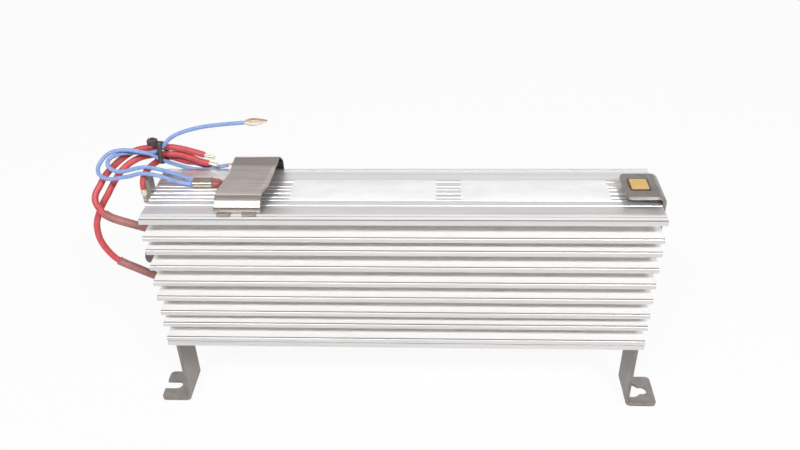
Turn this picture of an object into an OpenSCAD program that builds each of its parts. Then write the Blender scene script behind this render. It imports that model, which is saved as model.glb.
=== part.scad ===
// Aluminium housed power resistor with a thermostat, tied leads and end brackets.
// X runs along the body, Y through it, Z up. The feet stand on z = 0 and the
// origin lies midway between them.

/* [Body] */
// Length of the aluminium extrusion
body_l = 210; // [170:1:260]
// Depth of the extrusion over its fins
body_d = 41; // [36:0.5:50]
// Height of the extrusion
body_h = 68; // [66:0.5:80]
// Clear height under the body
leg_h = 47; // [20:1:80]
// Thickness of the top slab
slab_top_t = 2.7; // [2.4:0.1:4]
// Thickness of the bottom slab
slab_bottom_t = 4.8; // [3:0.1:6]
// Height of the ridges that run along the top slab
ridge_h = 0.6; // [0.3:0.1:0.8]
// Distance of each ridge from the middle of the slab
ridge_y = 16.8; // [14:0.1:17.5]
// Width of the solid core between the front and rear fins
core_w = 14; // [13:0.1:18]

/* [Fins] */
// Pitch of the main fins
fin_pitch = 8.15; // [7.6:0.05:8.3]
// Thickness of a main fin
fin_t = 2.2; // [1.6:0.1:2.8]
// Distance of each guard fin from the last main fin
guard_pitch = 6.6; // [6.2:0.1:7]
// Thickness of a guard fin
guard_t = 2; // [1.5:0.1:2.4]
// Radius of the rounded front edges of the fins
fin_r = 0.6; // [0.3:0.1:0.75]
// Radius at the roots of the fins
root_r = 0.8; // [0.4:0.1:1]

/* [Resistance element] */
// Height of the chamber that holds the element
chamber_h = 32; // [30:0.5:33]
// Width of the chamber
chamber_w = 5.2; // [4.9:0.1:6]
// Thickness of the mica card that carries the winding
card_t = 1.6; // [1:0.1:2]
// Width of the resistance ribbon
ribbon_w = 1.2; // [0.8:0.1:2]
// Thickness of the resistance ribbon
ribbon_t = 0.4; // [0.2:0.05:0.5]
// Distance between the turns of the winding
turn_pitch = 4.5; // [3:0.5:8]
// Length of the potting that seals each end of the chamber
seal_l = 8; // [6:0.5:12]
// Diameter of the ceramic stub at the left end
stub_d = 6.8; // [5:0.1:7]
// Distance that the stub stands out of its seal
stub_l = 9; // [5:0.5:12]

/* [Brackets] */
// Width of the bracket strip
strip_w = 18.3; // [16:0.1:22]
// Thickness of the bracket sheet
strip_t = 1.5; // [1:0.1:2]
// Inner radius of the bends
bend_r = 1.5; // [1:0.1:2]
// Distance of each foot's tip from the end of the body
foot_reach = 15; // [13:0.5:20]
// Width of the fixing slots
slot_w = 5.2; // [4.2:0.1:6]
// Distance of each fixing centre from the end of the body
fixing_x = 9.5; // [8:0.5:11]
// Diameter of the keyhole
keyhole_d = 9.2; // [7:0.1:9.6]
// Distance of the keyhole's centre from the end of the body
keyhole_x = 4.3; // [4:0.1:6]
// Length of the tongue over the top of the body
tongue_l = 13; // [10:0.5:18]
// Clearance between the tongue and the ridges of the top slab
tongue_gap = 2.2; // [1:0.1:4]
// Radius of the plan corners
corner_r = 2.2; // [1:0.1:2.5]

/* [Screws] */
// Diameter of the screw ports and of the screws in them
port_d = 3.5; // [3:0.1:4]
// Clearance of the strap's holes round the screws
screw_clear = 0.5; // [0.2:0.1:1]
// Diameter of the screw heads
head_d = 7; // [6:0.1:8]
// Height of the screw heads
head_h = 2.4; // [1.8:0.1:3]
// Length of the screws in the ports
screw_l = 12; // [8:1:16]

/* [Thermostat and clip] */
// Length of the thermostat's can
can_l = 8.5; // [8:0.5:12]
// Width of the thermostat's can
can_w = 5.4; // [5:0.1:8]
// Height of the thermostat's can
can_h = 2.8; // [2.6:0.1:4.5]
// Distance of the can's left end from the left end of the body
can_x = 16; // [12:0.5:16]
// Length of the resin at the right end of the can
resin_l = 4.4; // [2:0.1:5]
// Width of the spring clip
clip_w = 19; // [15:0.5:22]
// Distance of the clip's middle from the left end of the body
clip_x = 39.3; // [38:0.1:60]
// Thickness of the clip's sheet
clip_t = 0.6; // [0.4:0.1:0.8]
// Height of the clip's arch over the slab
arch_h = 9.4; // [8.5:0.1:12]
// Sideways shift of the rear half of the clip
clip_skew = 3.8; // [0:0.1:6]
// Width of the clip's two front toes
toe_w = 5.6; // [3:0.1:7]

/* [Labels] */
// Thickness of the adhesive labels
label_t = 0.15; // [0.1:0.05:0.3]
// Width of the two blank labels
label_w = 15.6; // [10:0.1:16]
// Distance of the first label's left end from the left end of the body
label_1_x = 58.5; // [54:0.5:62]
// Distance between the two labels
label_gap = 10.2; // [6:0.2:14]
// Distance of the second label's right end from the right end of the body
label_end = 19.3; // [18.5:0.1:22]
// Width and length of the amber label on the tongue
tag_size = 8.6; // [6:0.1:9]

/* [Leads] */
// Diameter of the power and earth leads
red_d = 2.8; // [2:0.1:2.8]
// Diameter of the sleeves over the power leads
sleeve_d = 3.8; // [3.2:0.1:4.2]
// Diameter of the thermostat's leads
blue_d = 1.7; // [1.2:0.1:1.8]
// Length of the stripped conductor at the end of each lead
strip_l = 4.5; // [3:0.5:8]
// Length of the stripped conductor at the end of the long thermostat lead
long_strip_l = 9.5; // [4:0.5:12]

/* [Hidden] */
$fn = 64;
eps = 0.01;
lead_sides = 8;

body_x = body_l / 2;
body_y = body_d / 2;
body_z0 = leg_h;
body_z1 = leg_h + body_h;
slab_flat_z = body_z1 - ridge_h;

// The slabs and the fin field between them
slab_under_z = body_z1 - slab_top_t;
slab_over_z = body_z0 + slab_bottom_t;
fin_mid_z = (slab_under_z + slab_over_z) / 2;
main_fins = [for (i = [-2:2]) [fin_mid_z + i * fin_pitch, fin_t]];
guard_z = 2 * fin_pitch + guard_pitch;
fins = concat([[fin_mid_z - guard_z, guard_t]], main_fins, [[fin_mid_z + guard_z, guard_t]]);
port_wall = 1.85;
port_z = chamber_h / 2 + port_wall + port_d / 2;

// The element in its chamber
chamber_r = 1;
card_l = body_l - 2 * (seal_l + 3);
card_h = chamber_h - 5;
card_notch_l = 8;
card_notch_h = 6;
ribbon_y = card_t / 2 + ribbon_t;
mica_h = chamber_h - 2 * chamber_r;
mica_l = body_l - 2 * seal_l;
winding_x0 = -body_x + seal_l + 9;
winding_x1 = body_x - seal_l - 9;
lead_rise = chamber_h / 2 - 3;
lead_z = [fin_mid_z + lead_rise, fin_mid_z - lead_rise];
sleeve_depth = 4;
sleeve_clear = 0.2;
pin_d = 1.4;
splice_d = 2 * ribbon_y - 0.1;

// The brackets outside the ends of the body
strap_x = body_x + strip_t;
foot_x = body_x + foot_reach;
hole_x = body_x + fixing_x;
tongue_z = body_z1 + tongue_gap;
window = [chamber_w + 1.8, chamber_h + 2];
lug_tab_y = [-1.5, 4.5];
lug_tab_z = body_z1 + 6.6;

// The clip's sheet, as the middle line of its profile from the rear hook to the toes
clip_mid_x = -body_x + clip_x;
clip_clear = 0.1;
clip_y = body_y + clip_clear + clip_t / 2;
hook_z = slab_under_z - clip_clear - clip_t / 2;
clip_top_z = slab_flat_z + arch_h;
toe_z = body_z1 + clip_t / 2;
clip_line = [
    [body_y - 3, hook_z, 0],
    [clip_y, hook_z, 0.6],
    [clip_y, clip_top_z - 5.4, 3],
    [14.5, clip_top_z + 0.2, 4],
    [7, clip_top_z - 0.2, 6],
    [-10, clip_top_z - 4, 2],
    [-13.2, clip_top_z - 5, 1.2],
    [-15.2, clip_top_z - 7, 1],
    [-14.6, toe_z, 0.5],
    [-18.2, toe_z, 0]
];
toe_y = -15.6;

// The thermostat lies on the slab beside the clip
can_x0 = -body_x + can_x;
can_y = 6.5;

// The two labels share the slab between the clip and the tongue
label_l = (body_l - label_1_x - label_gap - label_end) / 2;
label_y = 3;

// The tie round the leads
tie_x = -104.2;
tie_mid = [19.2, 123.5];
tie_in = [9.8, 10.6];
tie_t = 0.9;
tie_w = 2.2;
tie_head = [3.8, 3.6, 2.8];

// Routes of the leads. The power leads start inside the left seal.
upper_route = [
    [-101, 0, 95], [-106, 0, 95], [-112, 0, 97], [-118.5, 0, 99.2], [-124.5, 0, 101.5],
    [-128, 0, 104], [-130, 0.5, 106.5], [-131.5, 2, 109], [-131.5, 4, 111.5], [-130, 6.5, 114],
    [-128.5, 9.5, 116.5], [-126.5, 12.5, 118.5], [-123.5, 15.5, 120.7], [-120, 18, 122.7],
    [-116, 19.5, 124.2], [-111, 20.2, 125], [-106, 20.5, 125.2], [-101, 20.5, 125.2],
    [-96.5, 20.5, 124.5], [-91.5, 20.5, 123]
];
lower_route = [
    [-101, 0, 69], [-106, 0, 69], [-112, 0, 70.5], [-119.5, 0, 74.5], [-127, 0, 79],
    [-131, 0, 84.5], [-133.5, 0.8, 90.5], [-133.5, 1.8, 97.5], [-131.5, 3.5, 103],
    [-130, 5.5, 106], [-128, 7.5, 109], [-126.5, 9.5, 111.5], [-124.5, 12, 114.5],
    [-122, 14.5, 117.3], [-118.5, 17, 119.6], [-114.5, 18.8, 121], [-110.5, 19.5, 121.7],
    [-106.5, 19.8, 122], [-102, 20.3, 121.9], [-97.5, 21, 121.3], [-93.5, 21, 120],
    [-89.5, 21, 118]
];
earth_route = [
    [-108.3, 0.5, 116.5], [-108.3, 0.5, 117.6], [-108.4, 1.1, 118.9], [-108.6, 2.6, 119.7],
    [-108.8, 4.4, 120], [-109, 6.5, 120.1], [-109, 10, 120], [-108.8, 13.5, 119.5],
    [-108.3, 17, 119], [-107, 20, 119], [-105, 22.3, 119.8], [-102, 23, 119.8],
    [-98.5, 23.3, 118.8], [-95.5, 23.8, 117], [-92.5, 24, 115.7], [-89, 24, 114.5]
];
long_route = [
    [-89, 8, 116], [-90.2, 8, 116], [-92.5, 8.2, 117.2], [-97, 8.2, 119], [-100.5, 8, 120.5],
    [-104.5, 7.5, 122], [-108.5, 7, 123], [-112, 7, 122.5], [-116, 7, 121.5],
    [-119.5, 7, 120.7], [-122, 7.2, 121], [-124.5, 8, 122], [-125.5, 9.5, 123.5],
    [-125, 11.5, 124.5], [-123, 13, 125.2], [-120, 14.2, 125.6], [-116.5, 15.4, 125.2],
    [-113, 16.6, 124.6], [-109.5, 17.2, 124.2], [-106.5, 17.4, 124.8], [-104.2, 17.5, 126.2],
    [-102.5, 17.9, 128], [-100.5, 18.6, 130.3], [-97.5, 19.5, 132.5], [-92.5, 20, 134.5],
    [-85, 20, 136.5], [-76, 19.5, 138], [-66.5, 19, 139]
];
short_route = [
    [-89, 4.9, 116], [-90.2, 4.9, 116], [-92.5, 4.6, 116.6], [-96, 3.8, 118.2],
    [-99.5, 2.8, 120.5], [-103, 1.8, 122.3], [-106.5, 1.2, 123.2], [-110, 1.5, 123],
    [-114, 2, 121.5], [-118.5, 2.5, 120.5], [-122.5, 3, 119.5], [-126, 4, 119.5],
    [-128.5, 5.5, 120.5], [-129.3, 7.5, 122], [-128.6, 9.3, 123.7], [-127, 11.1, 125.4],
    [-124.5, 12.2, 127], [-120.5, 13, 127.8], [-116, 13.5, 127.5], [-112.5, 14, 126.5],
    [-108.5, 14.8, 125], [-106, 15.2, 123.2], [-103.5, 16.2, 121], [-101, 18.2, 118.5],
    [-98.5, 20.2, 116.1], [-95, 21.7, 114], [-90, 21.8, 113.2], [-85.5, 21.9, 113.4],
    [-81, 22, 114.5], [-77.5, 22, 115.3]
];
sleeve_rings = 5;

// ---- Helpers -------------------------------------------------------------

// Turns a profile drawn in Y and Z into a bar that runs from x0 to x1
module along_x(x0, x1) {
    translate([x0, 0, 0]) rotate([90, 0, 90]) linear_extrude(x1 - x0) children();
}

// Turns a profile drawn in X and Z into a sheet that spans Y from -w/2 to w/2
module across_y(w) {
    translate([0, w / 2, 0]) rotate([90, 0, 0]) linear_extrude(w) children();
}

// A rectangle from one corner to the opposite one
module span(a, b) {
    translate(a) square(b - a);
}

// A rectangle round a centre, with round corners
module rounded_rect(size, r) {
    square([size.x - 2 * r, size.y], center = true);
    square([size.x, size.y - 2 * r], center = true);
    for (sx = [-1, 1], sy = [-1, 1])
        translate([sx * (size.x / 2 - r), sy * (size.y / 2 - r)]) circle(r);
}

function unit(v) = v / norm(v);
function left_of(v) = [-v.y, v.x];

// Points of a line whose corners [y, z, radius] are rounded by arcs of that radius
function rounded_line(c, steps = 6) = [
    for (i = [0:len(c) - 1])
        let (p = [c[i].x, c[i].y], r = c[i].z)
        if (i == 0 || i == len(c) - 1 || r == 0) p
        else
            let (
                a = unit([c[i - 1].x, c[i - 1].y] - p),
                b = unit([c[i + 1].x, c[i + 1].y] - p),
                half = acos(a * b) / 2,
                o = p + unit(a + b) * r / sin(half),
                s = p + a * r / tan(half) - o,
                e = p + b * r / tan(half) - o,
                turn = acos(max(-1, min(1, s * e / (r * r)))),
                way = sign(s.x * e.y - s.y * e.x)
            )
            for (k = [0:steps])
                let (w = way * turn * k / steps)
                o + [s.x * cos(w) - s.y * sin(w), s.x * sin(w) + s.y * cos(w)]
];

// Moves each point of a line sideways by h along the mean normal of its two sides
function beside(p, h) = [
    for (i = [0:len(p) - 1])
        let (
            n = len(p) - 1,
            a = left_of(unit(p[max(i, 1)] - p[max(i, 1) - 1])),
            b = left_of(unit(p[min(i, n - 1) + 1] - p[min(i, n - 1)])),
            m = unit(a + b)
        )
        p[i] + m * h / (m * a)
];

// Outline of a sheet of thickness t that follows a line
function sheet(p, t) = concat(beside(p, t / 2), [for (i = [len(p) - 1:-1:0]) beside(p, -t / 2)[i]]);

// Direction of a route at point i
function heading(p, i) = unit(p[min(i + 1, len(p) - 1)] - p[max(i - 1, 0)]);

// Directions square to the route, carried from point to point without twist
function carried(p, i, u) =
    let (t = heading(p, i), v = unit(u - (u * t) * t))
    i == len(p) - 1 ? [v] : concat([v], carried(p, i + 1, v));

// A tube of diameter d along the points of a route from index a to index b
module tube(route, a, b, d) {
    u = carried(route, 0, cross(heading(route, 0), [0.1, 1, 0.2]));
    n = lead_sides;
    rings = b - a + 1;
    points = [
        for (i = [a:b], k = [0:n - 1])
            let (v = cross(heading(route, i), u[i]), w = 360 * k / n)
            route[i] + (cos(w) * u[i] + sin(w) * v) * d / 2
    ];
    sides = [
        for (i = [0:rings - 2], k = [0:n - 1])
            let (k2 = (k + 1) % n)
            each [[i * n + k, i * n + k2, (i + 1) * n + k2], [i * n + k, (i + 1) * n + k2, (i + 1) * n + k]]
    ];
    first = [for (k = [n - 1:-1:0]) k];
    last = [for (k = [0:n - 1]) (rings - 1) * n + k];
    polyhedron(points, [for (f = concat([first, last], sides)) [for (k = [len(f) - 1:-1:0]) f[k]]]);
}

// A straight bare conductor that carries on from the end of a route
module bare_end(route, d, l) {
    n = len(route) - 1;
    t = heading(route, n);
    translate(route[n]) rotate([0, acos(t.z), atan2(t.y, t.x)]) cylinder(d = d, h = l);
}

// ---- Aluminium extrusion ----------------------------------------------------

// Top of the slab: two low ridges with flats between and outside them
module slab_outline() {
    polygon([
        [-body_y, body_z0], [body_y, body_z0],
        [body_y, body_z1 - ridge_h - 0.1], [ridge_y, body_z1], [ridge_y - 5.4, slab_flat_z],
        [5.4 - ridge_y, slab_flat_z], [-ridge_y, body_z1], [-body_y, body_z1 - ridge_h - 0.1]
    ]);
}

// Space between two fins on the front side, with rounded roots and rounded fin edges
module channel(z0, z1) {
    root_y = core_w / 2;
    span([-body_y - 1, z0], [-root_y - root_r, z1]);
    span([-body_y, z0 + root_r], [-root_y, z1 - root_r]);
    for (z = [z0 + root_r, z1 - root_r]) translate([-root_y - root_r, z]) circle(root_r);
    difference() {
        span([-body_y - 1, z0 - fin_r], [-body_y + fin_r, z0 + eps]);
        translate([-body_y + fin_r, z0 - fin_r]) circle(fin_r);
    }
}

// All the channels of the front side, between the slabs and the fins
module channels() {
    n = len(fins);
    for (i = [0:n]) {
        z0 = i == 0 ? slab_over_z : fins[i - 1][0] + fins[i - 1][1] / 2;
        z1 = i == n ? slab_under_z : fins[i][0] - fins[i][1] / 2;
        channel(z0, z1);
    }
}

// Fine lines in the top slab: [distance from the middle, width, depth]
slab_lines = [[0, 0.8, 0.5], [3, 0.5, 0.25], [5.4, 0.5, 0.25], [9.2, 0.5, 0.25]];
edge_line_y = 17.9;

module slab_grooves() {
    for (line = slab_lines, side = [-1, 1])
        translate([side * line[0], slab_flat_z])
            polygon([[-line[1] / 2, eps], [0, -line[2]], [line[1] / 2, eps]]);
    for (side = [-1, 1]) span([side * edge_line_y - 0.2, body_z1 - 0.55], [side * edge_line_y + 0.2, body_z1]);
}

// Open screw ports above and below the chamber
module ports() {
    for (side = [-1, 1]) translate([0, fin_mid_z + side * port_z]) {
        circle(d = port_d);
        span([0, -0.6], [core_w / 2 + root_r, 0.6]);
    }
}

module housing() {
    color([0.86, 0.86, 0.87]) along_x(-body_x, body_x) difference() {
        slab_outline();
        channels();
        mirror([1, 0]) channels();
        slab_grooves();
        ports();
        translate([0, fin_mid_z]) rounded_rect([chamber_w, chamber_h], chamber_r);
        for (side = [-1, 1]) translate([side * body_y, body_z0 + slab_bottom_t / 2]) circle(0.35);
    }
}

// ---- Resistance element -------------------------------------------------------

module winding_card() {
    color([0.72, 0.62, 0.42]) difference() {
        translate([-card_l / 2, -card_t / 2, fin_mid_z - card_h / 2]) cube([card_l, card_t, card_h]);
        for (side = [-1, 1])
            translate([-card_l / 2 + card_notch_l / 2 - eps, 0, fin_mid_z + side * card_h / 2])
                cube([card_notch_l + 2 * eps, card_t + 1, 2 * card_notch_h], center = true);
    }
}

module resistance_winding() {
    turns = floor((winding_x1 - winding_x0) / turn_pitch);
    color([0.55, 0.52, 0.5]) for (i = [0:turns])
        along_x(winding_x0 + i * turn_pitch, winding_x0 + i * turn_pitch + ribbon_w)
            translate([0, fin_mid_z]) difference() {
                square([2 * ribbon_y, card_h + 2 * ribbon_t], center = true);
                square([card_t, card_h], center = true);
            }
}

module mica_sheet(side) {
    y0 = side > 0 ? ribbon_y : -chamber_w / 2 + 0.1;
    color([0.8, 0.74, 0.6]) translate([-mica_l / 2, y0, fin_mid_z - mica_h / 2])
        cube([mica_l, chamber_w / 2 - 0.1 - ribbon_y, mica_h]);
}

// A plug of potting compound that fills one end of the chamber
module end_seal(x0) {
    along_x(x0, x0 + seal_l) translate([0, fin_mid_z]) rounded_rect([chamber_w, chamber_h], chamber_r);
}

module end_seal_left() {
    color([0.85, 0.83, 0.78]) difference() {
        end_seal(-body_x);
        for (z = lead_z) translate([-body_x, 0, z]) rotate([0, 90, 0]) {
            translate([0, 0, -1]) cylinder(d = sleeve_d + sleeve_clear, h = sleeve_depth + 1);
            cylinder(d = pin_d, h = seal_l + 1);
        }
    }
}

module end_seal_right() {
    color([0.85, 0.83, 0.78]) end_seal(body_x - seal_l);
}

// Ceramic stub on the face of the left seal, with a rounded end
module ceramic_stub() {
    r = stub_d / 2;
    edge = 1.6;
    color([0.36, 0.32, 0.3]) translate([-body_x, 0, fin_mid_z]) rotate([0, -90, 0]) rotate_extrude()
        union() {
            span([0, 0], [r, stub_l - edge]);
            span([0, 0], [r - edge, stub_l]);
            translate([r - edge, stub_l - edge]) intersection() {
                circle(edge);
                square(edge);
            }
        }
}

// A crimped tube that joins the lead's conductor to the first turn
module splice(z) {
    x0 = -body_x + seal_l;
    color([0.75, 0.68, 0.5]) translate([0, 0, z]) rotate([0, 90, 0]) {
        translate([0, 0, -body_x + sleeve_depth]) cylinder(d = pin_d, h = seal_l - sleeve_depth + 0.5);
        translate([0, 0, x0]) cylinder(d = splice_d, h = winding_x0 - x0);
    }
}

// ---- Brackets and their screws ----------------------------------------------

// A quarter of a sheet's bend, in the corner that points to -X and -Y, with its outer corner at 0, 0
module bend() {
    r = bend_r + strip_t;
    translate([r, r]) intersection() {
        difference() {
            circle(r);
            circle(bend_r);
        }
        translate([-r, -r]) square(r);
    }
}

// Side view of the strap: a foot that points to +X and a leg up to z1, with the leg's inner face at x = 0
module strap_profile(z1) {
    r = bend_r + strip_t;
    translate([0, 0]) bend();
    span([r, 0], [foot_reach, strip_t]);
    span([0, r], [strip_t, z1]);
}

// Plan of the foot with round corners at its tip, long enough to keep the leg
module foot_plan() {
    translate([0, -strip_w / 2]) square([foot_reach - corner_r, strip_w]);
    translate([0, -strip_w / 2 + corner_r]) square([foot_reach, strip_w - 2 * corner_r]);
    for (side = [-1, 1])
        translate([foot_reach - corner_r, side * (strip_w / 2 - corner_r)]) circle(corner_r);
}

// Round holes for the two screws, from the strap's inner face outwards
module screw_holes() {
    for (side = [-1, 1])
        translate([-1, 0, fin_mid_z + side * port_z]) rotate([0, 90, 0])
            cylinder(d = port_d + screw_clear, h = strip_t + 2);
}

// The left strap: a forked foot, a window for the leads and a tab above the slab for the earth lug
module left_strap() {
    prong_r = (strip_w - slot_w) / 4;
    slot_x = fixing_x;
    difference() {
        intersection() {
            across_y(strip_w) strap_profile(lug_tab_z);
            translate([0, 0, -1]) linear_extrude(lug_tab_z + 2) foot_plan();
        }
        screw_holes();
        translate([slot_x, 0, -1]) cylinder(d = slot_w, h = strip_t + 2);
        translate([slot_x, -slot_w / 2, -1]) cube([foot_reach, slot_w, strip_t + 2]);
        along_x(-1, strip_t + 1) translate([0, fin_mid_z]) rounded_rect(window, 2);
        along_x(-1, strip_t + 1) difference() {
            span([-strip_w, body_z1 - 3], [strip_w, lug_tab_z + 1]);
            span([lug_tab_y.x, body_z1 - 4], [lug_tab_y.y, lug_tab_z + 2]);
        }
    }
}

module left_bracket() {
    color([0.55, 0.53, 0.51]) translate([-body_x, 0, 0]) mirror([1, 0, 0]) left_strap();
}

// The right strap: a keyhole foot, and a tongue folded over the top of the body
module right_strap() {
    r = bend_r + strip_t;
    difference() {
        union() {
            intersection() {
                across_y(strip_w) strap_profile(tongue_z - bend_r);
                translate([0, 0, -1]) linear_extrude(tongue_z) foot_plan();
            }
            across_y(strip_w) translate([strip_t, tongue_z + strip_t]) rotate(180) bend();
            translate([0, 0, tongue_z]) linear_extrude(strip_t) difference() {
                translate([strip_t - r - tongue_l, -strip_w / 2]) square([tongue_l, strip_w]);
                for (side = [-1, 1])
                    translate([strip_t - r - tongue_l, side * strip_w / 2]) difference() {
                        square(2 * corner_r, center = true);
                        translate([corner_r, -side * corner_r]) circle(corner_r);
                    }
            }
        }
        screw_holes();
        translate([keyhole_x, 0, -1]) cylinder(d = keyhole_d, h = strip_t + 2);
        translate([fixing_x, 0, -1]) cylinder(d = slot_w, h = strip_t + 2);
        translate([keyhole_x, -slot_w / 2, -1]) cube([fixing_x - keyhole_x, slot_w, strip_t + 2]);
    }
}

module right_bracket() {
    color([0.55, 0.53, 0.51]) translate([body_x, 0, 0]) right_strap();
}

// A pan head screw along +X from the strap into a port, with a cross recess
module screw() {
    edge = 0.8;
    recess = [1, 4, 1.2];
    rotate([0, 90, 0]) cylinder(d = port_d, h = screw_l + strip_t);
    difference() {
        rotate([0, -90, 0]) rotate_extrude() union() {
            span([0, 0], [head_d / 2, head_h - edge]);
            span([0, 0], [head_d / 2 - edge, head_h]);
            translate([head_d / 2 - edge, head_h - edge]) intersection() {
                circle(edge);
                square(edge);
            }
        }
        for (turn = [0, 90]) rotate([turn, 0, 0])
            translate([-head_h - eps, -recess.x / 2, -recess.y / 2]) cube([recess.z, recess.x, recess.y]);
    }
}

module bracket_screws() {
    color([0.6, 0.6, 0.62]) for (end = [0, 1], side = [-1, 1])
        mirror([end, 0, 0]) translate([-strap_x, 0, fin_mid_z + side * port_z]) screw();
}

// ---- Thermostat and its clip ------------------------------------------------

// The can's rounded section, drawn in Y and Z
module can_section(inset) {
    translate([can_y, slab_flat_z + can_h / 2])
        rounded_rect([can_w - 2 * inset, can_h - 2 * inset], 1 - inset);
}

module thermostat_can() {
    color([0.75, 0.72, 0.66]) difference() {
        along_x(can_x0, can_x0 + can_l) can_section(0);
        along_x(can_x0 + can_l - 1, can_x0 + can_l + 1) can_section(0.4);
    }
}

// Resin that fills the open end of the can and bulges out of it
module thermostat_resin() {
    color([0.72, 0.34, 0.33]) {
        along_x(can_x0 + can_l - 1, can_x0 + can_l + 1.2) can_section(0.4);
        along_x(can_x0 + can_l + 1, can_x0 + can_l + resin_l)
            translate([can_y, slab_flat_z + can_h / 2]) rounded_rect([can_w - 1.2, can_h - 1], 0.8);
    }
}

// Plan of the clip: its rear half is shifted sideways, and slants run between the halves
module clip_plan() {
    w = clip_w / 2;
    polygon([
        [-w, -body_y], [w, -body_y], [w, -10], [w + clip_skew / 2, -4], [w + clip_skew, 8],
        [w + clip_skew, body_y + 2], [clip_skew - w, body_y + 2], [clip_skew - w, 2.5], [-w, -8]
    ]);
}

// The clip hooks under the rear edge of the slab, arches over it and stands on it at the front
module spring_clip() {
    color([0.66, 0.62, 0.6]) translate([clip_mid_x, 0, 0]) difference() {
        intersection() {
            along_x(-clip_w, clip_w) polygon(sheet(rounded_line(clip_line), clip_t));
            linear_extrude(2 * body_z1) clip_plan();
        }
        difference() {
            translate([-clip_w, -body_y - 1, body_z1 - 1]) cube([2 * clip_w, body_y + toe_y + 1, 2.2]);
            for (side = [-1, 1])
                translate([side * (clip_w / 2 - 1.6 - toe_w / 2) - toe_w / 2, -body_y - 2, body_z1 - 2])
                    cube([toe_w, body_y, 4]);
        }
    }
}

// ---- Labels -------------------------------------------------------------------

module blank_label(x0) {
    color([0.95, 0.95, 0.95]) translate([x0 + label_l / 2, label_y, slab_flat_z])
        linear_extrude(label_t) rounded_rect([label_l, label_w], 0.5);
}

// Amber label on the tongue: a dark rim and a plain field on it
module tag(size, z, t) {
    translate([strap_x - bend_r - strip_t - tongue_l / 2, 0.5, z])
        linear_extrude(t) rounded_rect([size, size + 1], 1);
}

module amber_label() {
    color([0.35, 0.22, 0.15]) tag(tag_size, tongue_z + strip_t, label_t);
}

module amber_label_field() {
    color([0.92, 0.72, 0.38]) tag(tag_size - 1.6, tongue_z + strip_t + label_t, label_t / 2);
}

// ---- Leads ------------------------------------------------------------------

module sleeve(route) {
    color([0.66, 0.42, 0.4]) tube(route, 0, sleeve_rings - 1, sleeve_d);
}

module power_lead(route) {
    color([0.8, 0.33, 0.35]) tube(route, sleeve_rings - 1, len(route) - 1, red_d);
}

// Crimped lug: a barrel under the earth lead and a tongue on the strap's tab
module earth_lug() {
    top = earth_route[0];
    barrel_d = 2.6;
    color([0.8, 0.8, 0.8]) {
        translate([top.x, top.y, top.z - 6.6]) cylinder(d = barrel_d, h = 4);
        translate([-strap_x - 0.6, top.y - barrel_d / 2, top.z - 9.5]) cube([0.6, 8, 6]);
    }
}

module lug_sleeve() {
    top = earth_route[0];
    color([0.9, 0.86, 0.78]) translate([top.x, top.y, top.z - 2.6]) cylinder(d = 3.2, h = 2.6);
}

module bare_ends() {
    color([0.8, 0.66, 0.5]) {
        for (route = [upper_route, lower_route, earth_route]) bare_end(route, red_d * 0.64, strip_l);
        bare_end(long_route, blue_d * 0.7, long_strip_l);
        bare_end(short_route, blue_d * 0.7, strip_l);
    }
}

// A strap round the leads with its ratchet head on top and a short cut end
module cable_tie() {
    outer = [tie_in.x + 2 * tie_t, tie_in.y + 2 * tie_t];
    color([0.24, 0.2, 0.2]) {
        along_x(tie_x - tie_w / 2, tie_x + tie_w / 2) translate(tie_mid) difference() {
            rounded_rect(outer, 2.4);
            rounded_rect(tie_in, 1.5);
        }
        translate([tie_x - tie_head.x, tie_mid.x - tie_head.y, tie_mid.y + tie_in.y / 2 + tie_t / 2])
            cube(tie_head);
    }
}

// ---- Nodes --------------------------------------------------------------------

housing();
winding_card();
resistance_winding();
mica_sheet(-1);  // mica_sheet_front
mica_sheet(1);  // mica_sheet_rear
end_seal_left();
end_seal_right();
ceramic_stub();
splice(lead_z[0]);  // splice_upper
splice(lead_z[1]);  // splice_lower
left_bracket();
right_bracket();
bracket_screws();
thermostat_can();
thermostat_resin();
spring_clip();
blank_label(-body_x + label_1_x);  // label_left
blank_label(body_x - label_end - label_l);  // label_right
amber_label();
amber_label_field();
sleeve(upper_route);  // sleeve_upper
sleeve(lower_route);  // sleeve_lower
power_lead(upper_route);  // power_lead_upper
power_lead(lower_route);  // power_lead_lower
color([0.8, 0.33, 0.35]) tube(earth_route, 0, len(earth_route) - 1, red_d);  // earth_lead
earth_lug();
lug_sleeve();
color([0.5, 0.62, 0.86]) tube(long_route, 0, len(long_route) - 1, blue_d);  // thermostat_lead_long
color([0.5, 0.62, 0.86]) tube(short_route, 0, len(short_route) - 1, blue_d);  // thermostat_lead_short
bare_ends();
cable_tie();
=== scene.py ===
"""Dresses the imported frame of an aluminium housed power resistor.

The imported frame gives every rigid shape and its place. This script adds the finishes, the
braided sleeves and insulated leads, the sprung clip, the sealed thermostat and the small
parts, and sets up a pale studio. Sizes in the code are millimetres unless they say
otherwise, and each mesh is scaled to metres as it is made.
"""

import bmesh
import bpy
import numpy as np
from bpy.props import FloatProperty, FloatVectorProperty, IntProperty, PointerProperty
from mathutils import Euler, Matrix, Vector


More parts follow.
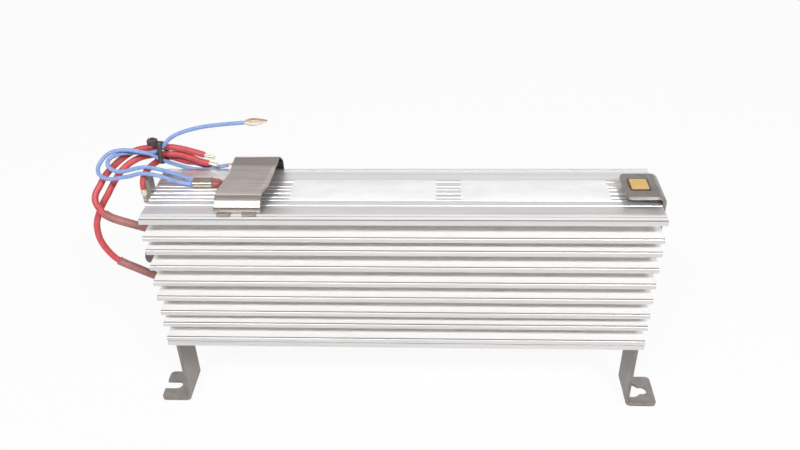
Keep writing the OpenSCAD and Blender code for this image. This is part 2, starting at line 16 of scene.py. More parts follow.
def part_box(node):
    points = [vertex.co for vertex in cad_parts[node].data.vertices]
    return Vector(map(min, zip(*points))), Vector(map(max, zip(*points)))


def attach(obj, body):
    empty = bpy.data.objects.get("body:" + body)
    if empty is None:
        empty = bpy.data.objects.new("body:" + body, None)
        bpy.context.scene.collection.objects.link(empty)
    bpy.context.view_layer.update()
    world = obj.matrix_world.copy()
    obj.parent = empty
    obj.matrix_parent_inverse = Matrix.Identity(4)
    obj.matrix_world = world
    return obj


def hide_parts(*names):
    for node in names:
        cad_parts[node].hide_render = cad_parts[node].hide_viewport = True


bl_info = {
    "name": "Housed power resistor",
    "version": (1, 0, 0),
    "blender": (4, 5, 0),
    "location": "3D View > Sidebar > Resistor",
    "description": "Finishes, leads, clip and small parts of an aluminium housed power resistor",
    "category": "Object",
}

MM = 0.001
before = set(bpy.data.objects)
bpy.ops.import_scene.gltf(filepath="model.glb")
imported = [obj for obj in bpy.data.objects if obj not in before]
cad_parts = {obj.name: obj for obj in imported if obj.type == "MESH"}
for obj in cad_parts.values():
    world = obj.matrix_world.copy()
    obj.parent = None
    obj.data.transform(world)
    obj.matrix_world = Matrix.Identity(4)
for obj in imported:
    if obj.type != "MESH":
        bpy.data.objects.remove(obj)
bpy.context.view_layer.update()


def box_mm(node):
    """Lowest and highest corner of a CAD node, in millimetres."""
    low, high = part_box(node)
    return np.array(low) / MM, np.array(high) / MM


HOUSING_LOW, HOUSING_HIGH = box_mm("housing")
RIDGE_H = 0.6
SLAB_FLAT_Z = HOUSING_HIGH[2] - RIDGE_H


# ---- Routes of the leads -----------------------------------------------------------
#
# The points are those of the CAD leads, with three differences: each red lead has one more
# at its end, three points of the earth lead near its end sit up to 1.3 mm lower, and so do
# the last seven of the long lead. A sleeve covers the first points of a power lead.

UPPER_ROUTE = [
    (-101, 0, 95), (-106, 0, 95), (-112, 0, 97), (-118.5, 0, 99.2), (-124.5, 0, 101.5),
    (-128, 0, 104), (-130, 0.5, 106.5), (-131.5, 2, 109), (-131.5, 4, 111.5), (-130, 6.5, 114),
    (-128.5, 9.5, 116.5), (-126.5, 12.5, 118.5), (-123.5, 15.5, 120.7), (-120, 18, 122.7),
    (-116, 19.5, 124.2), (-111, 20.2, 125), (-106, 20.5, 125.2), (-101, 20.5, 125.2),
    (-96.5, 20.5, 124.5), (-91.5, 20.5, 123),
    (-86.5, 20.5, 121.3),
]
LOWER_ROUTE = [
    (-101, 0, 69), (-106, 0, 69), (-112, 0, 70.5), (-119.5, 0, 74.5), (-127, 0, 79),
    (-131, 0, 84.5), (-133.5, 0.8, 90.5), (-133.5, 1.8, 97.5), (-131.5, 3.5, 103),
    (-130, 5.5, 106), (-128, 7.5, 109), (-126.5, 9.5, 111.5), (-124.5, 12, 114.5),
    (-122, 14.5, 117.3), (-118.5, 17, 119.6), (-114.5, 18.8, 121), (-110.5, 19.5, 121.7),
    (-106.5, 19.8, 122), (-102, 20.3, 121.9), (-97.5, 21, 121.3), (-93.5, 21, 120),
    (-89.5, 21, 118),
    (-85.5, 20.8, 117),
]
EARTH_ROUTE = [
    (-108.3, 0.5, 116.5), (-108.3, 0.5, 117.6), (-108.4, 1.1, 118.9), (-108.6, 2.6, 119.7),
    (-108.8, 4.4, 120), (-109, 6.5, 120.1), (-109, 10, 120), (-108.8, 13.5, 119.5),
    (-108.3, 17, 119), (-107, 20, 119), (-105, 22.3, 119.8), (-102, 22.8, 119),
    (-98.5, 23, 117.6), (-95.5, 23.6, 116.2), (-92.5, 24, 115.7), (-89, 24, 114.5),
    (-86, 24, 113.5),
]
LONG_ROUTE = [
    (-89, 8, 116), (-90.2, 8, 116), (-92.5, 8.2, 117.2), (-97, 8.2, 119), (-100.5, 8, 120.5),
    (-104.5, 7.5, 122), (-108.5, 7, 123), (-112, 7, 122.5), (-116, 7, 121.5),
    (-119.5, 7, 120.7), (-122, 7.2, 121), (-124.5, 8, 122), (-125.5, 9.5, 123.5),
    (-125, 11.5, 124.5), (-123, 13, 125.2), (-120, 14.2, 125.6), (-116.5, 15.4, 125.2),
    (-113, 16.6, 124.6), (-109.5, 17.2, 124.2), (-106.5, 17.4, 124.8), (-104.2, 17.5, 126.2),
    (-102.5, 17.9, 127.8), (-100.5, 18.6, 129.8), (-97.5, 19.5, 131.6), (-92.5, 20, 133.4),
    (-85, 20, 135.3), (-76, 19.5, 136.7), (-66.5, 19, 137.8),
]
SHORT_ROUTE = [
    (-89, 4.9, 116), (-90.2, 4.9, 116), (-92.5, 4.6, 116.6), (-96, 3.8, 118.2),
    (-99.5, 2.8, 120.5), (-103, 1.8, 122.3), (-106.5, 1.2, 123.2), (-110, 1.5, 123),
    (-114, 2, 121.5), (-118.5, 2.5, 120.5), (-122.5, 3, 119.5), (-126, 4, 119.5),
    (-128.5, 5.5, 120.5), (-129.3, 7.5, 122), (-128.6, 9.3, 123.7), (-127, 11.1, 125.4),
    (-124.5, 12.2, 127), (-120.5, 13, 127.8), (-116, 13.5, 127.5), (-112.5, 14, 126.5),
    (-108.5, 14.8, 125), (-106, 15.2, 123.2), (-103.5, 16.2, 121), (-101, 18.2, 118.5),
    (-98.5, 20.2, 116.1), (-95, 21.7, 114), (-90, 21.8, 113.2), (-85.5, 21.9, 113.4),
    (-81, 22, 114.5), (-77.5, 22, 115.3),
]
SLEEVE_POINTS = {"sleeve_upper": 6, "sleeve_lower": 5}


# ---- Paths and grids ---------------------------------------------------------------


def run_along(line):
    """Distance from the first point of a line to each of its points, along the line."""
    return np.r_[0, np.cumsum(np.linalg.norm(np.diff(line, axis=0), axis=1))]


def spread_points(line, count, endpoint=True):
    """`count` points at equal shares of a line's length."""
    run = run_along(line)
    at = np.linspace(0, run[-1], count, endpoint=endpoint)
    return np.stack([np.interp(at, run, column) for column in line.T], 1)


def even_points(line, step):
    """Points about `step` apart along a line, at equal shares of its length."""
    return spread_points(line, max(2, round(run_along(line)[-1] / step)) + 1)


def shared_points(outline, count):
    """Points at equal shares of the length of a closed outline, from its first corner."""
    return spread_points(np.vstack([outline, outline[:1]]), count, endpoint=False)


def smooth_path(route, step, parts=16):
    """Even points on the curve that runs through a route: between two of its points the
    curve is a cubic whose end slopes are half the distance between their neighbours."""
    p = np.asarray(route, float)
    p = np.vstack([2 * p[0] - p[1], p, 2 * p[-1] - p[-2]])
    t = np.linspace(0, 1, parts, endpoint=False)[:, None]
    p0, p1, p2, p3 = (p[i : len(p) - 3 + i, None] for i in range(4))
    cubic = 2 * p1 + (p2 - p0) * t
    cubic = cubic + (2 * p0 - 5 * p1 + 4 * p2 - p3) * t**2 + (3 * p1 - p0 - 3 * p2 + p3) * t**3
    return even_points(np.vstack([cubic.reshape(-1, 3) / 2, p[-2]]), step)


def unit(v):
    """Vectors along the last axis, each divided by its length."""
    return v / np.linalg.norm(v, axis=-1, keepdims=True)


FIRST_SIDE = (0.1, 1, 0.2)  # a direction that no path starts along


def carried_frames(path):
    """Heading of a path and two directions square to it, carried along without twist:
    each station takes the last station's direction less its part along the new heading."""
    heading = unit(np.gradient(path, axis=0))
    side = np.empty_like(path)
    last = np.cross(heading[0], FIRST_SIDE)
    for i, t in enumerate(heading):
        last = unit(last - (last @ t) * t)
        side[i] = last
    return heading, side, np.cross(heading, side)


def turned_about(path, radius, angle):
    """Grid round a path: point [i, k] lies radius[i, k] from station i, at angle[i, k] in
    the plane square to the path there."""
    _, side, up = carried_frames(path)
    spoke = np.cos(angle)[..., None] * side[:, None] + np.sin(angle)[..., None] * up[:, None]
    return path[:, None] + radius[..., None] * spoke


def ring_angles(rows, sides):
    """Angles of `sides` even columns round a path, for each of `rows` stations."""
    return np.broadcast_to(np.linspace(0, 2 * np.pi, sides, endpoint=False), (rows, sides))


def rounded_line(corners, steps=8):
    """A line through corners (y, z, radius), each rounded by an arc of its radius that
    touches both sides of the corner."""
    line = [np.array(corners[0][:2], float)]
    for before, (y, z, r), after in zip(corners, corners[1:], corners[2:]):
        p = np.array([y, z], float)
        a, b = unit(np.array(before[:2]) - p), unit(np.array(after[:2]) - p)
        half = np.arccos(a @ b) / 2
        centre = p + unit(a + b) * r / np.sin(half)
        start, end = p + a * r / np.tan(half) - centre, p + b * r / np.tan(half) - centre
        turn = np.arctan2(start[0] * end[1] - start[1] * end[0], start @ end)
        w = np.linspace(0, turn, steps + 1)[:, None]
        line.extend(centre + start * np.cos(w) + np.array([-start[1], start[0]]) * np.sin(w))
    line.append(np.array(corners[-1][:2], float))
    return np.array(line)


def rounded_rectangle(width, height, r, steps=6):
    """Outline of a rectangle round 0, 0 with corners of radius r, anticlockwise."""
    w = np.linspace(0, np.pi / 2, steps + 1)
    quarter = np.stack([np.cos(w), np.sin(w)], 1) * r
    turns = [np.array([[c, s], [-s, c]]) for c, s in ((1, 0), (0, 1), (-1, 0), (0, -1))]
    centres = [(1, 1), (-1, 1), (-1, -1), (1, -1)]
    inset = np.array([width / 2 - r, height / 2 - r])
    return np.vstack([quarter @ t + inset * c for t, c in zip(turns, centres)])


LEAST_CORNER = 0.03  # radius that a corner keeps where the round of an edge uses it up


def block_rings(size, corner, edge, count=48, rows=2, steps=4):
    """Rings of a rounded block that rises along Z from 0. At an angle w up the round of an
    edge, a ring is drawn in by edge * (1 - sin w) and lies edge * (1 - cos w) from the end."""
    w = np.linspace(0, np.pi / 2, steps + 1)
    rise, inset = edge * (1 - np.cos(w)), edge * (1 - np.sin(w))
    level = np.r_[rise[:-1], np.linspace(edge, size[2] - edge, rows), size[2] - rise[-2::-1]]
    inset = np.r_[inset[:-1], np.zeros(rows), inset[-2::-1]]
    rings = []
    for i in inset:
        sides = size[0] - 2 * i, size[1] - 2 * i
        outline = rounded_rectangle(*sides, max(corner - i, LEAST_CORNER))
        rings.append(shared_points(outline, count))
    level = np.broadcast_to(level[:, None, None], (len(level), count, 1))
    return np.concatenate([np.stack(rings), level], 2)


def step(value, low, high):
    """Smooth step from 0 at low to 1 at high: 3 t^2 - 2 t^3."""
    t = np.clip((value - low) / (high - low), 0, 1)
    return t * t * (3 - 2 * t)


WAY_L = 1.6  # usual length of a seeded direction, which shortens its wave by as much
CREST = 1.6  # usual height of the sum of sines for each root of their number


def ripple(*values, seed=0, waves=7, reach=1.0):
    """Smooth irregular field between about -1 and 1: a sum of sines along seeded
    directions through the given coordinates, each about `reach` from crest to crest."""
    rng = np.random.default_rng(seed)
    total = 0
    for _ in range(waves):
        way = rng.normal(size=len(values))
        phase = rng.uniform(0, 2 * np.pi)
        along = sum(w * v for w, v in zip(way, values))
        total = total + np.sin(along * 2 * np.pi / reach / WAY_L + phase)
    return total / waves**0.5 / CREST


class Skin:
    """Grids of points that together become one mesh."""

    def __init__(self):
        self.points, self.faces, self.uvs, self.count = [], [], [], 0

    def grid(self, points, around=False, closed=False, fans=(False, False), uv=None):
        """Adds quads between the rows and columns of points[row, column]. around joins the
        last column to the first, closed the last row to the first, and fans closes the
        first and the last row with triangles from their middle. uv runs along the rows by
        their length in metres and along the columns from 0 to 1, unless it is given."""
        rows, cols = points.shape[:2]
        index = self.count + np.arange(rows * cols).reshape(rows, cols)
        if uv is None:
            run = run_along(points.mean(1)) * MM
            share = np.arange(cols) / (cols if around else cols - 1)
            uv = np.stack(np.broadcast_arrays(run[:, None], share[None]), -1)
        if around:
            index = np.hstack([index, index[:, :1]])
            uv = np.hstack([uv, uv[:, :1] + [0, 1]])
        if closed:
            index, uv = np.vstack([index, index[:1]]), np.vstack([uv, uv[-1:]])
        for part, out in ((index, self.faces), (uv, self.uvs)):
            corners = (part[:-1, :-1], part[:-1, 1:], part[1:, 1:], part[1:, :-1])
            corners = np.stack(corners, 2)
            out.extend(corners.reshape(-1, *corners.shape[2:]).tolist())
        self.points.append(points.reshape(-1, 3))
        self.count += rows * cols
        for row, fan in zip((0, -1), fans):
            if fan:
                self.fan(index[row], uv[row], points[row].mean(0))
        return self

    def tube(self, points):
        """Adds a grid that is closed round its columns and over both ends."""
        return self.grid(points, around=True, fans=(True, True))

    def fan(self, ring, uv, middle):
        """Closes a ring of vertices with triangles from a middle point."""
        self.points.append(middle[None])
        for a, b, p, q in zip(ring[:-1].tolist(), ring[1:].tolist(), uv[:-1], uv[1:]):
            self.faces.append([a, b, self.count])
            self.uvs.append([p.tolist(), q.tolist(), ((p + q) / 2).tolist()])
        self.count += 1

    def mesh(self, name):
        """The mesh in metres, with its faces pointing outwards."""
        mesh = bpy.data.meshes.new(name)
        mesh.from_pydata(np.vstack(self.points) * MM, [], self.faces)
        layer = mesh.uv_layers.new(name="UVMap")
        layer.data.foreach_set("uv", np.array([c for f in self.uvs for p in f for c in p], "f"))
        face_outwards(mesh)
        return mesh


def face_outwards(mesh):
    """Turns every face of a mesh outwards."""
    work = bmesh.new()
    work.from_mesh(mesh)
    bmesh.ops.recalc_face_normals(work, faces=work.faces)
    work.to_mesh(mesh)
    work.free()


def add_object(name, data):
    """A new object in the scene."""
    thing = bpy.data.objects.new(name, data)
    bpy.context.scene.collection.objects.link(thing)
    return thing


def piece_name(node):
    """The name of a piece: its CAD node's words with capitals and no space."""
    return "".join(word.capitalize() for word in node.split("_"))


def add_piece(node, shape, finish, slot, smooth=40, name=None):
    """Makes a skin or a mesh the piece that stands for a CAD node: it rides on the body and
    takes the finish it is given; the slot is not used. Edges sharper than `smooth` degrees stay
    sharp."""
    name = name or piece_name(node)
    mesh = shape.mesh(name) if isinstance(shape, Skin) else shape
    piece = add_object(name, mesh)
    mesh.materials.append(finish)
    mesh.shade_smooth()
    mesh.set_sharp_from_angle(angle=np.radians(smooth))
    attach(piece, "root")
    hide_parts(node)
    return piece


def break_edges(piece, width, angle):
    """Rounds off a piece's edges that are sharper than an angle in degrees."""
    bevel = piece.modifiers.new("Broken edges", "BEVEL")
    bevel.width, bevel.segments = width * MM, 2
    bevel.limit_method, bevel.angle_limit = "ANGLE", np.radians(angle)
    return bevel


def softened_copy(node, finish, slot, width=0.2):
    """A merged copy of a CAD node whose sharp edges are broken by a small round."""
    work = bmesh.new()
    work.from_mesh(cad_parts[node].data)
    bmesh.ops.remove_doubles(work, verts=work.verts, dist=1e-6)
    bmesh.ops.dissolve_limit(
        work, angle_limit=np.radians(0.5), verts=work.verts, edges=work.edges
    )
    mesh = bpy.data.meshes.new(piece_name(node))
    work.to_mesh(mesh)
    work.free()
    break_edges(add_piece(node, mesh, finish, slot), width, 35).harden_normals = True


def paint_node(node, finish):
    """Gives a CAD node that stays in view its finish."""
    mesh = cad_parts[node].data
    mesh.materials.clear()
    mesh.materials.append(finish)


# ---- Finishes ----------------------------------------------------------------------


class Graph:
    """Short calls for the nodes of a shader tree."""

    def __init__(self, tree):
        self.tree = tree

    def fill(self, node, sockets):
        """Links or sets sockets, by name or number."""
        for key, value in sockets.items():
            if isinstance(value, bpy.types.NodeSocket):
                self.tree.links.new(value, node.inputs[key])
            else:
                node.inputs[key].default_value = value

    def add(self, kind, sockets=None, **settings):
        """A new node with its settings and sockets."""
        node = self.tree.nodes.new("ShaderNode" + kind)
        for key, value in settings.items():
            setattr(node, key, value)
        self.fill(node, sockets or {})
        return node

    def place(self, scale=(1, 1, 1), turn=(0, 0, 0), shift=(0, 0, 0), uv=False):
        """Object coordinates, or the UV map, stretched by a scale."""
        source = self.add("TexCoord").outputs["UV" if uv else "Object"]
        sockets = {"Vector": source, "Location": shift, "Rotation": turn, "Scale": scale}
        return self.add("Mapping", sockets).outputs[0]

    def noise(self, vector, detail=3.0, rough=0.55, warp=0.0):
        """Cloudy field from 0 to 1."""
        sockets = {"Vector": vector, "Scale": 1.0, "Detail": detail, "Roughness": rough}
        return self.add("TexNoise", sockets | {"Distortion": warp}).outputs[0]

    def cloud(self, repeats, turn=(0, 0, 0), shift=(0, 0, 0), **settings):
        """Cloudy field whose patches take `repeats` millimetres along X, Y and Z."""
        return self.noise(self.place(per_metre(*repeats), turn, shift), **settings)

    def cells(self, repeats):
        """Distance field of cells scattered every `repeats` millimetres."""
        vector = self.place(per_metre(*repeats))
        return self.add("TexVoronoi", {"Vector": vector, "Scale": 1.0}).outputs["Distance"]

    def level(self, value, low, high, new_low=0.0, new_high=1.0):
        """A value moved from one range to another and kept inside it."""
        sockets = {0: value, 1: low, 2: high, 3: new_low, 4: new_high}
        return self.add("MapRange", sockets).outputs[0]

    def math(self, operation, a, b=0.0):
        """A sum, product or comparison of two values."""
        return self.add("Math", {0: a, 1: b}, operation=operation).outputs[0]

    def ramp(self, value, *stops):
        """Colours at places along a value."""
        node = self.add("ValToRGB", {0: value})
        line = node.color_ramp.elements
        while len(line) < len(stops):
            line.new(0.5)
        for element, (place, colour) in zip(line, stops):
            element.position, element.color = place, (*colour, 1)
        return node.outputs[0]

    def blend(self, share, a, b):
        """Colour a where share is 0 and b where it is 1."""
        sides = {6: a if isinstance(a, bpy.types.NodeSocket) else (*a, 1)}
        sides[7] = b if isinstance(b, bpy.types.NodeSocket) else (*b, 1)
        return self.add("Mix", {0: share} | sides, data_type="RGBA").outputs[2]

    def mix(self, share, a, b):
        """Shader a where share is 0 and b where it is 1."""
        return self.add("MixShader", {0: share, 1: a.outputs[0], 2: b.outputs[0]})

    def relief(self, height, depth, under=None):
        """Bump of a height field, depth in millimetres, over another bump."""
        sockets = {"Height": height, "Distance": depth * MM, "Strength": 1.0}
        if under is not None:
            sockets["Normal"] = under
        return self.add("Bump", sockets).outputs[0]

    def split(self, vector):
        """X, Y and Z of a vector."""
        return self.add("SeparateXYZ", {0: vector}).outputs


class Finish(Graph):
    """A material on a Principled shader."""

    def __init__(self, name, **sockets):
        self.material = bpy.data.materials.new(name)
        self.material.use_nodes = True
        super().__init__(self.material.node_tree)
        self.shader = self.tree.nodes["Principled BSDF"]
        self.fill(self.shader, {k.replace("_", " "): v for k, v in sockets.items()})

    def shade(self, **sockets):
        """Links what varies to the shader, and returns the material."""
        self.fill(self.shader, {k.replace("_", " "): v for k, v in sockets.items()})
        return self.material


def chosen(key):
    """The colour that the scene's settings hold for a finish."""
    return tuple(getattr(bpy.context.scene.resistor_finishes, key))


def tones(colour, *shares):
    """The colour made lighter or darker by each share."""
    return [tuple(min(1.0, c * s) for c in colour) for s in shares]


def per_metre(*repeats):
    """Texture scale from how many millimetres one repeat takes along X, Y and Z."""
    return tuple(1 / (r * MM) for r in repeats)


def clouded(name, repeats, stops, rough, depth=0.0, cloud=None, **sockets):
    """A finish with one cloudy field, whose patches take `repeats` millimetres along X, Y
    and Z. It moves the colour between the stops and the roughness between two values, and
    lifts the surface by `depth` millimetres."""
    f = Finish(name, **sockets)
    field = f.cloud(repeats, **({"detail": 4} | (cloud or {})))
    varied = {"Normal": f.relief(field, depth)} if depth else {}
    rough = f.level(field, 0.3, 0.7, *rough)
    return f.shade(Base_Color=f.ramp(field, *stops), Roughness=rough, **varied)


PAINTED_EDGE_REFLECTION = (0.24, 0.235, 0.23)  # painted reflection: the dark line along the edges of the slabs and fins, where their rounded edges would mirror the dark room


def extruded_aluminium():
    """Die lines run along the bar and the two ends are sawn. The outer skin mirrors more, and
    its darker colour is painted shade on the faces; between the fins the metal keeps its pale,
    matt oxide. A dark line of painted reflection parts the two."""
    skin, matt = chosen("aluminium"), chosen("fins")
    f = Finish("Extruded aluminium", IOR=1.45)

    def under(value, edge, low, high):
        """0 at the depth `low` under an edge and 1 at `high`, in millimetres."""
        return f.level(value, (edge - low) * MM, (edge - high) * MM)

    x, y, z = f.split(f.add("TexCoord").outputs["Object"])
    half_l, half_w = HOUSING_HIGH[:2]
    out = f.math("ABSOLUTE", y)
    end = under(f.math("ABSOLUTE", x), half_l, 0.02, 0)
    outer = f.math("MAXIMUM", under(out, half_w, 0.4, 0.15), under(z, SLAB_FLAT_Z, 0.8, 0.6))
    # Mask of the painted reflection: a thin dark line about a millimetre behind the front and rear
    # faces.
    line = f.math("MULTIPLY", under(out, half_w, 1.05, 0.85), under(out, half_w, 0.15, 0.3))
    fine = f.cloud((90, 0.22, 0.22), detail=2)
    broad = f.cloud((140, 1.6, 1.6), shift=(3, 5, 1), detail=4)
    cloud = f.cloud((30, 12, 12), detail=5)
    drawn = f.ramp(broad, *zip((0.3, 0.5, 0.72), tones(skin, 0.86, 1.0, 1.08)))
    drawn = f.blend(f.level(cloud, 0.35, 0.75, 0, 0.35), drawn, tones(skin, 0.9)[0])
    oxide = f.ramp(broad, *zip((0.3, 0.65), tones(matt, 0.96, 1.0)))
    saw = f.cloud((3, 0.25, 14), turn=(0.35, 0, 0), detail=3)
    sawn = f.ramp(saw, *zip((0.3, 0.7), tones(skin, 0.8, 1.05)))
    # The outer skin's darker colour, against the pale fin tops, is painted shade on the faces; the
    # higher metallic share there is the skin's own.
    along = f.blend(line, f.blend(outer, oxide, drawn), PAINTED_EDGE_REFLECTION)
    bump = f.relief(f.math("MULTIPLY", fine, f.math("SUBTRACT", 1.0, end)), 0.003)
    rough = f.math("ADD", f.level(broad, 0.25, 0.75, 0.32, 0.46), f.math("MULTIPLY", end, 0.12))
    return f.shade(
        Base_Color=f.blend(end, along, sawn),
        Metallic=f.level(outer, 0, 1, 0.0, 0.7),
        Roughness=rough,
        Normal=f.relief(f.math("MULTIPLY", saw, end), 0.03, bump),
    )


def stamped_steel():
    """Bright zinc plate over rolled sheet, a little cloudy, with faint rolling lines."""
    f = Finish("Stamped steel", Metallic=0.9)
    rolled = f.cloud((6, 0.18, 9), detail=3)
    cloud = f.cloud((5, 5, 7), detail=6, rough=0.6, warp=0.4)
    dark, light = tones(chosen("bracket"), 0.82, 1.12)
    return f.shade(
        Base_Color=f.ramp(cloud, (0.32, dark), (0.68, light)),
        Roughness=f.level(cloud, 0.3, 0.7, 0.3, 0.46),
        Normal=f.relief(rolled, 0.006, f.relief(cloud, 0.02)),
    )


CLIP_FOLD = (-13.2, -12, -10.6, -9.8)  # Y where the painted dark reflection on the front fold comes in and fades


def spring_steel(name="Spring steel", shade=1.0):
    """Brushed strip, with fine lines along X and a band of painted dark reflection on its front
    fold.
    """
    # A shade below 1 darkens the whole copy as painted shade; the inside of the clip takes one.
    colour = tones(chosen("clip"), shade)[0]
    f = Finish(name, Metallic=0.92)
    brush = f.cloud((40, 0.35, 0.35), detail=4, rough=0.65)
    band = f.cloud((60, 2.4, 2.4), shift=(2, 2, 7), detail=2)
    dark, light, fold_reflection_dark = tones(colour, 0.84, 1.14, 0.6)
    both = f.math("ADD", f.math("MULTIPLY", brush, 0.5), f.math("MULTIPLY", band, 0.5))
    y = f.split(f.add("TexCoord").outputs["Object"])[1]
    low, in_full, full, high = (at * MM for at in CLIP_FOLD)
    # The front fold is painted darker: a painted reflection of the dark things in front of it, not
    # wear.
    fold = f.math("MULTIPLY", f.level(y, low, in_full, 0, 0.7), f.level(y, high, full))
    return f.shade(
        Base_Color=f.blend(fold, f.ramp(both, (0.35, dark), (0.65, light)), fold_reflection_dark),
        Roughness=f.level(brush, 0.3, 0.7, 0.26, 0.4),
        Normal=f.relief(brush, 0.008),
    )


def plated_can():
    """Nickel plated thermostat can with a faint warm cast."""
    stops = zip((0.3, 0.7), tones(chosen("can"), 0.88, 1.08))
    cloud = {"detail": 5}
    return clouded("Plated can", (4, 4, 4), stops, (0.16, 0.28), 0.01, cloud, Metallic=0.95)


def screw_plate():
    """Zinc plated screws, a little cloudy."""
    stops = (0.3, (0.42, 0.42, 0.43)), (0.7, (0.62, 0.62, 0.6))
    return clouded("Plated screws", (0.8, 1.4, 1.4), stops, (0.22, 0.38), 0.01, Metallic=0.95)


def silicone(name, colour):
    """Soft silicone insulation: satin, slightly dusty, with faint extrusion lines."""
    f = Finish(name, IOR=1.42, Subsurface_Weight=0.12, Subsurface_Scale=0.8 * MM)
    f.fill(f.shader, {"Subsurface Radius": (1.0, 0.35, 0.3), "Sheen Weight": 0.15})
    lines = f.noise(f.place((1 / (22 * MM), 14, 1), uv=True), detail=3)
    dust = f.cloud((2.2, 2.2, 2.2), detail=6, rough=0.65)
    dark, light = tones(colour, 0.86, 1.1)
    return f.shade(
        Base_Color=f.ramp(dust, (0.3, dark), (0.55, colour), (0.75, light)),
        Roughness=f.level(dust, 0.3, 0.7, 0.34, 0.5),
        Normal=f.relief(lines, 0.02),
    )


def glass_braid():
    """Varnished glass braid: the threads catch the light and the gaps keep the varnish."""
    f = Finish("Glass braid", IOR=1.5, Coat_Weight=0.15, Coat_Roughness=0.4)
    thread = f.cloud((0.5, 0.5, 0.5), detail=4)
    tone = f.cloud((5, 5, 5), shift=(4, 1, 1), detail=4)
    dark, mid, light = tones(chosen("sleeve"), 0.72, 1.0, 1.32)
    mixed = f.math("ADD", f.math("MULTIPLY", thread, 0.6), f.math("MULTIPLY", tone, 0.4))
    return f.shade(
        Base_Color=f.ramp(mixed, (0.35, dark), (0.5, mid), (0.68, light)),
        Roughness=f.level(thread, 0.3, 0.7, 0.42, 0.62),
        Normal=f.relief(thread, 0.03),
    )


def stranded_copper(name, colour, rough=0.3):
    """Drawn strands, a little tarnished between the bright crowns."""
    stops = zip((0.3, 0.62), tones(colour, 0.7, 1.1))
    return clouded(name, (1.1, 0.5, 0.5), stops, (rough - 0.06, rough + 0.1), Metallic=1.0)


def moulded_plastic(name, colour, rough=0.45, grain=0.6, spread=0.12):
    """Moulded or cast plastic with a fine grain."""
    f = Finish(name, IOR=1.48)
    skin = f.cloud((grain, grain, grain), detail=5)
    tone = f.cloud((6 * grain, 6 * grain, 6 * grain), detail=3)
    dark, light = tones(colour, 1 - spread, 1 + spread)
    return f.shade(
        Base_Color=f.ramp(tone, (0.3, dark), (0.7, light)),
        Roughness=f.level(skin, 0.3, 0.7, rough - 0.07, rough + 0.09),
        Normal=f.relief(skin, 0.02),
    )


def cast_resin():
    """Sealing resin: glossy, with small sunken spots."""
    stops = zip((0.34, 0.6, 0.75), tones(chosen("resin"), 0.6, 1, 1.25))
    return clouded(
        "Sealing resin", (1.5, 1.5, 1.5), stops, (0.2, 0.42), 0.12, {"detail": 5, "warp": 0.5},
        IOR=1.52, Coat_Weight=0.5, Coat_Roughness=0.12,
    )


def film_label(name, colour, rough=0.3):
    """Matt film with a faint weave of the paper behind it and worn patches."""
    f = Finish(name, IOR=1.46, Coat_Weight=0.2, Coat_Roughness=0.35)
    fibre = f.cloud((0.4, 0.25, 0.25), detail=4)
    rub = f.cloud((9, 6, 6), detail=4)
    dark, light = tones(colour, 0.955, 1.02)
    return f.shade(
        Base_Color=f.ramp(rub, (0.35, dark), (0.6, light)),
        Roughness=f.level(rub, 0.3, 0.7, rough, rough + 0.16),
        Normal=f.relief(fibre, 0.004),
    )


def potting_cement():
    """Pale filler with sand grains and pin holes."""
    f = Finish("Potting cement", IOR=1.5)
    grain = f.cloud((0.5, 0.5, 0.5), detail=6, rough=0.7)
    pits = f.level(f.cells((1.3, 1.3, 1.3)), 0.08, 0.24)
    shade = f.ramp(grain, (0.3, (0.56, 0.52, 0.44)), (0.7, (0.78, 0.74, 0.66)))
    return f.shade(
        Base_Color=f.blend(pits, (0.4, 0.36, 0.3), shade),
        Roughness=f.level(grain, 0.3, 0.7, 0.75, 0.95),
        Normal=f.relief(pits, 0.12, f.relief(grain, 0.08)),
    )


def glazed_ceramic():
    """Dark ceramic with a thin brown glaze."""
    stops = (0.3, (0.085, 0.07, 0.065)), (0.7, (0.17, 0.14, 0.125))
    return clouded(
        "Glazed ceramic", (2, 2, 2), stops, (0.4, 0.6), 0.03, {"detail": 6, "rough": 0.65},
        IOR=1.55, Coat_Weight=0.3, Coat_Roughness=0.3,
    )


def mica():
    """Layered mica board with bronze flakes."""
    f = Finish("Mica board", IOR=1.56, Metallic=0.1)
    flake = f.cells((2.2, 1, 1.6))
    colours = ((0.05, (0.62, 0.52, 0.34)), (0.5, (0.5, 0.4, 0.25)), (0.9, (0.7, 0.62, 0.44)))
    return f.shade(
        Base_Color=f.ramp(flake, *colours),
        Roughness=f.level(flake, 0, 1, 0.3, 0.6),
    )


def resistance_ribbon():
    """Nickel chrome ribbon, oxidised to grey by heat."""
    stops = (0.3, (0.2, 0.17, 0.15)), (0.7, (0.42, 0.4, 0.37))
    return clouded("Resistance ribbon", (14, 3, 6), stops, (0.35, 0.6), Metallic=0.9)


# ---- Sizes and colours that a user would change ---------------------------------------


def colour_property(name, default, description):
    """A colour in linear light."""
    return FloatVectorProperty(
        name=name, description=description, default=default, subtype="COLOR", min=0, max=1
    )


def length_property(name, default, low, high, description):
    """A length, whose default and limits are given in millimetres."""
    return FloatProperty(
        name=name, description=description, default=default * MM, min=low * MM,
        max=high * MM, unit="LENGTH", precision=4,
    )


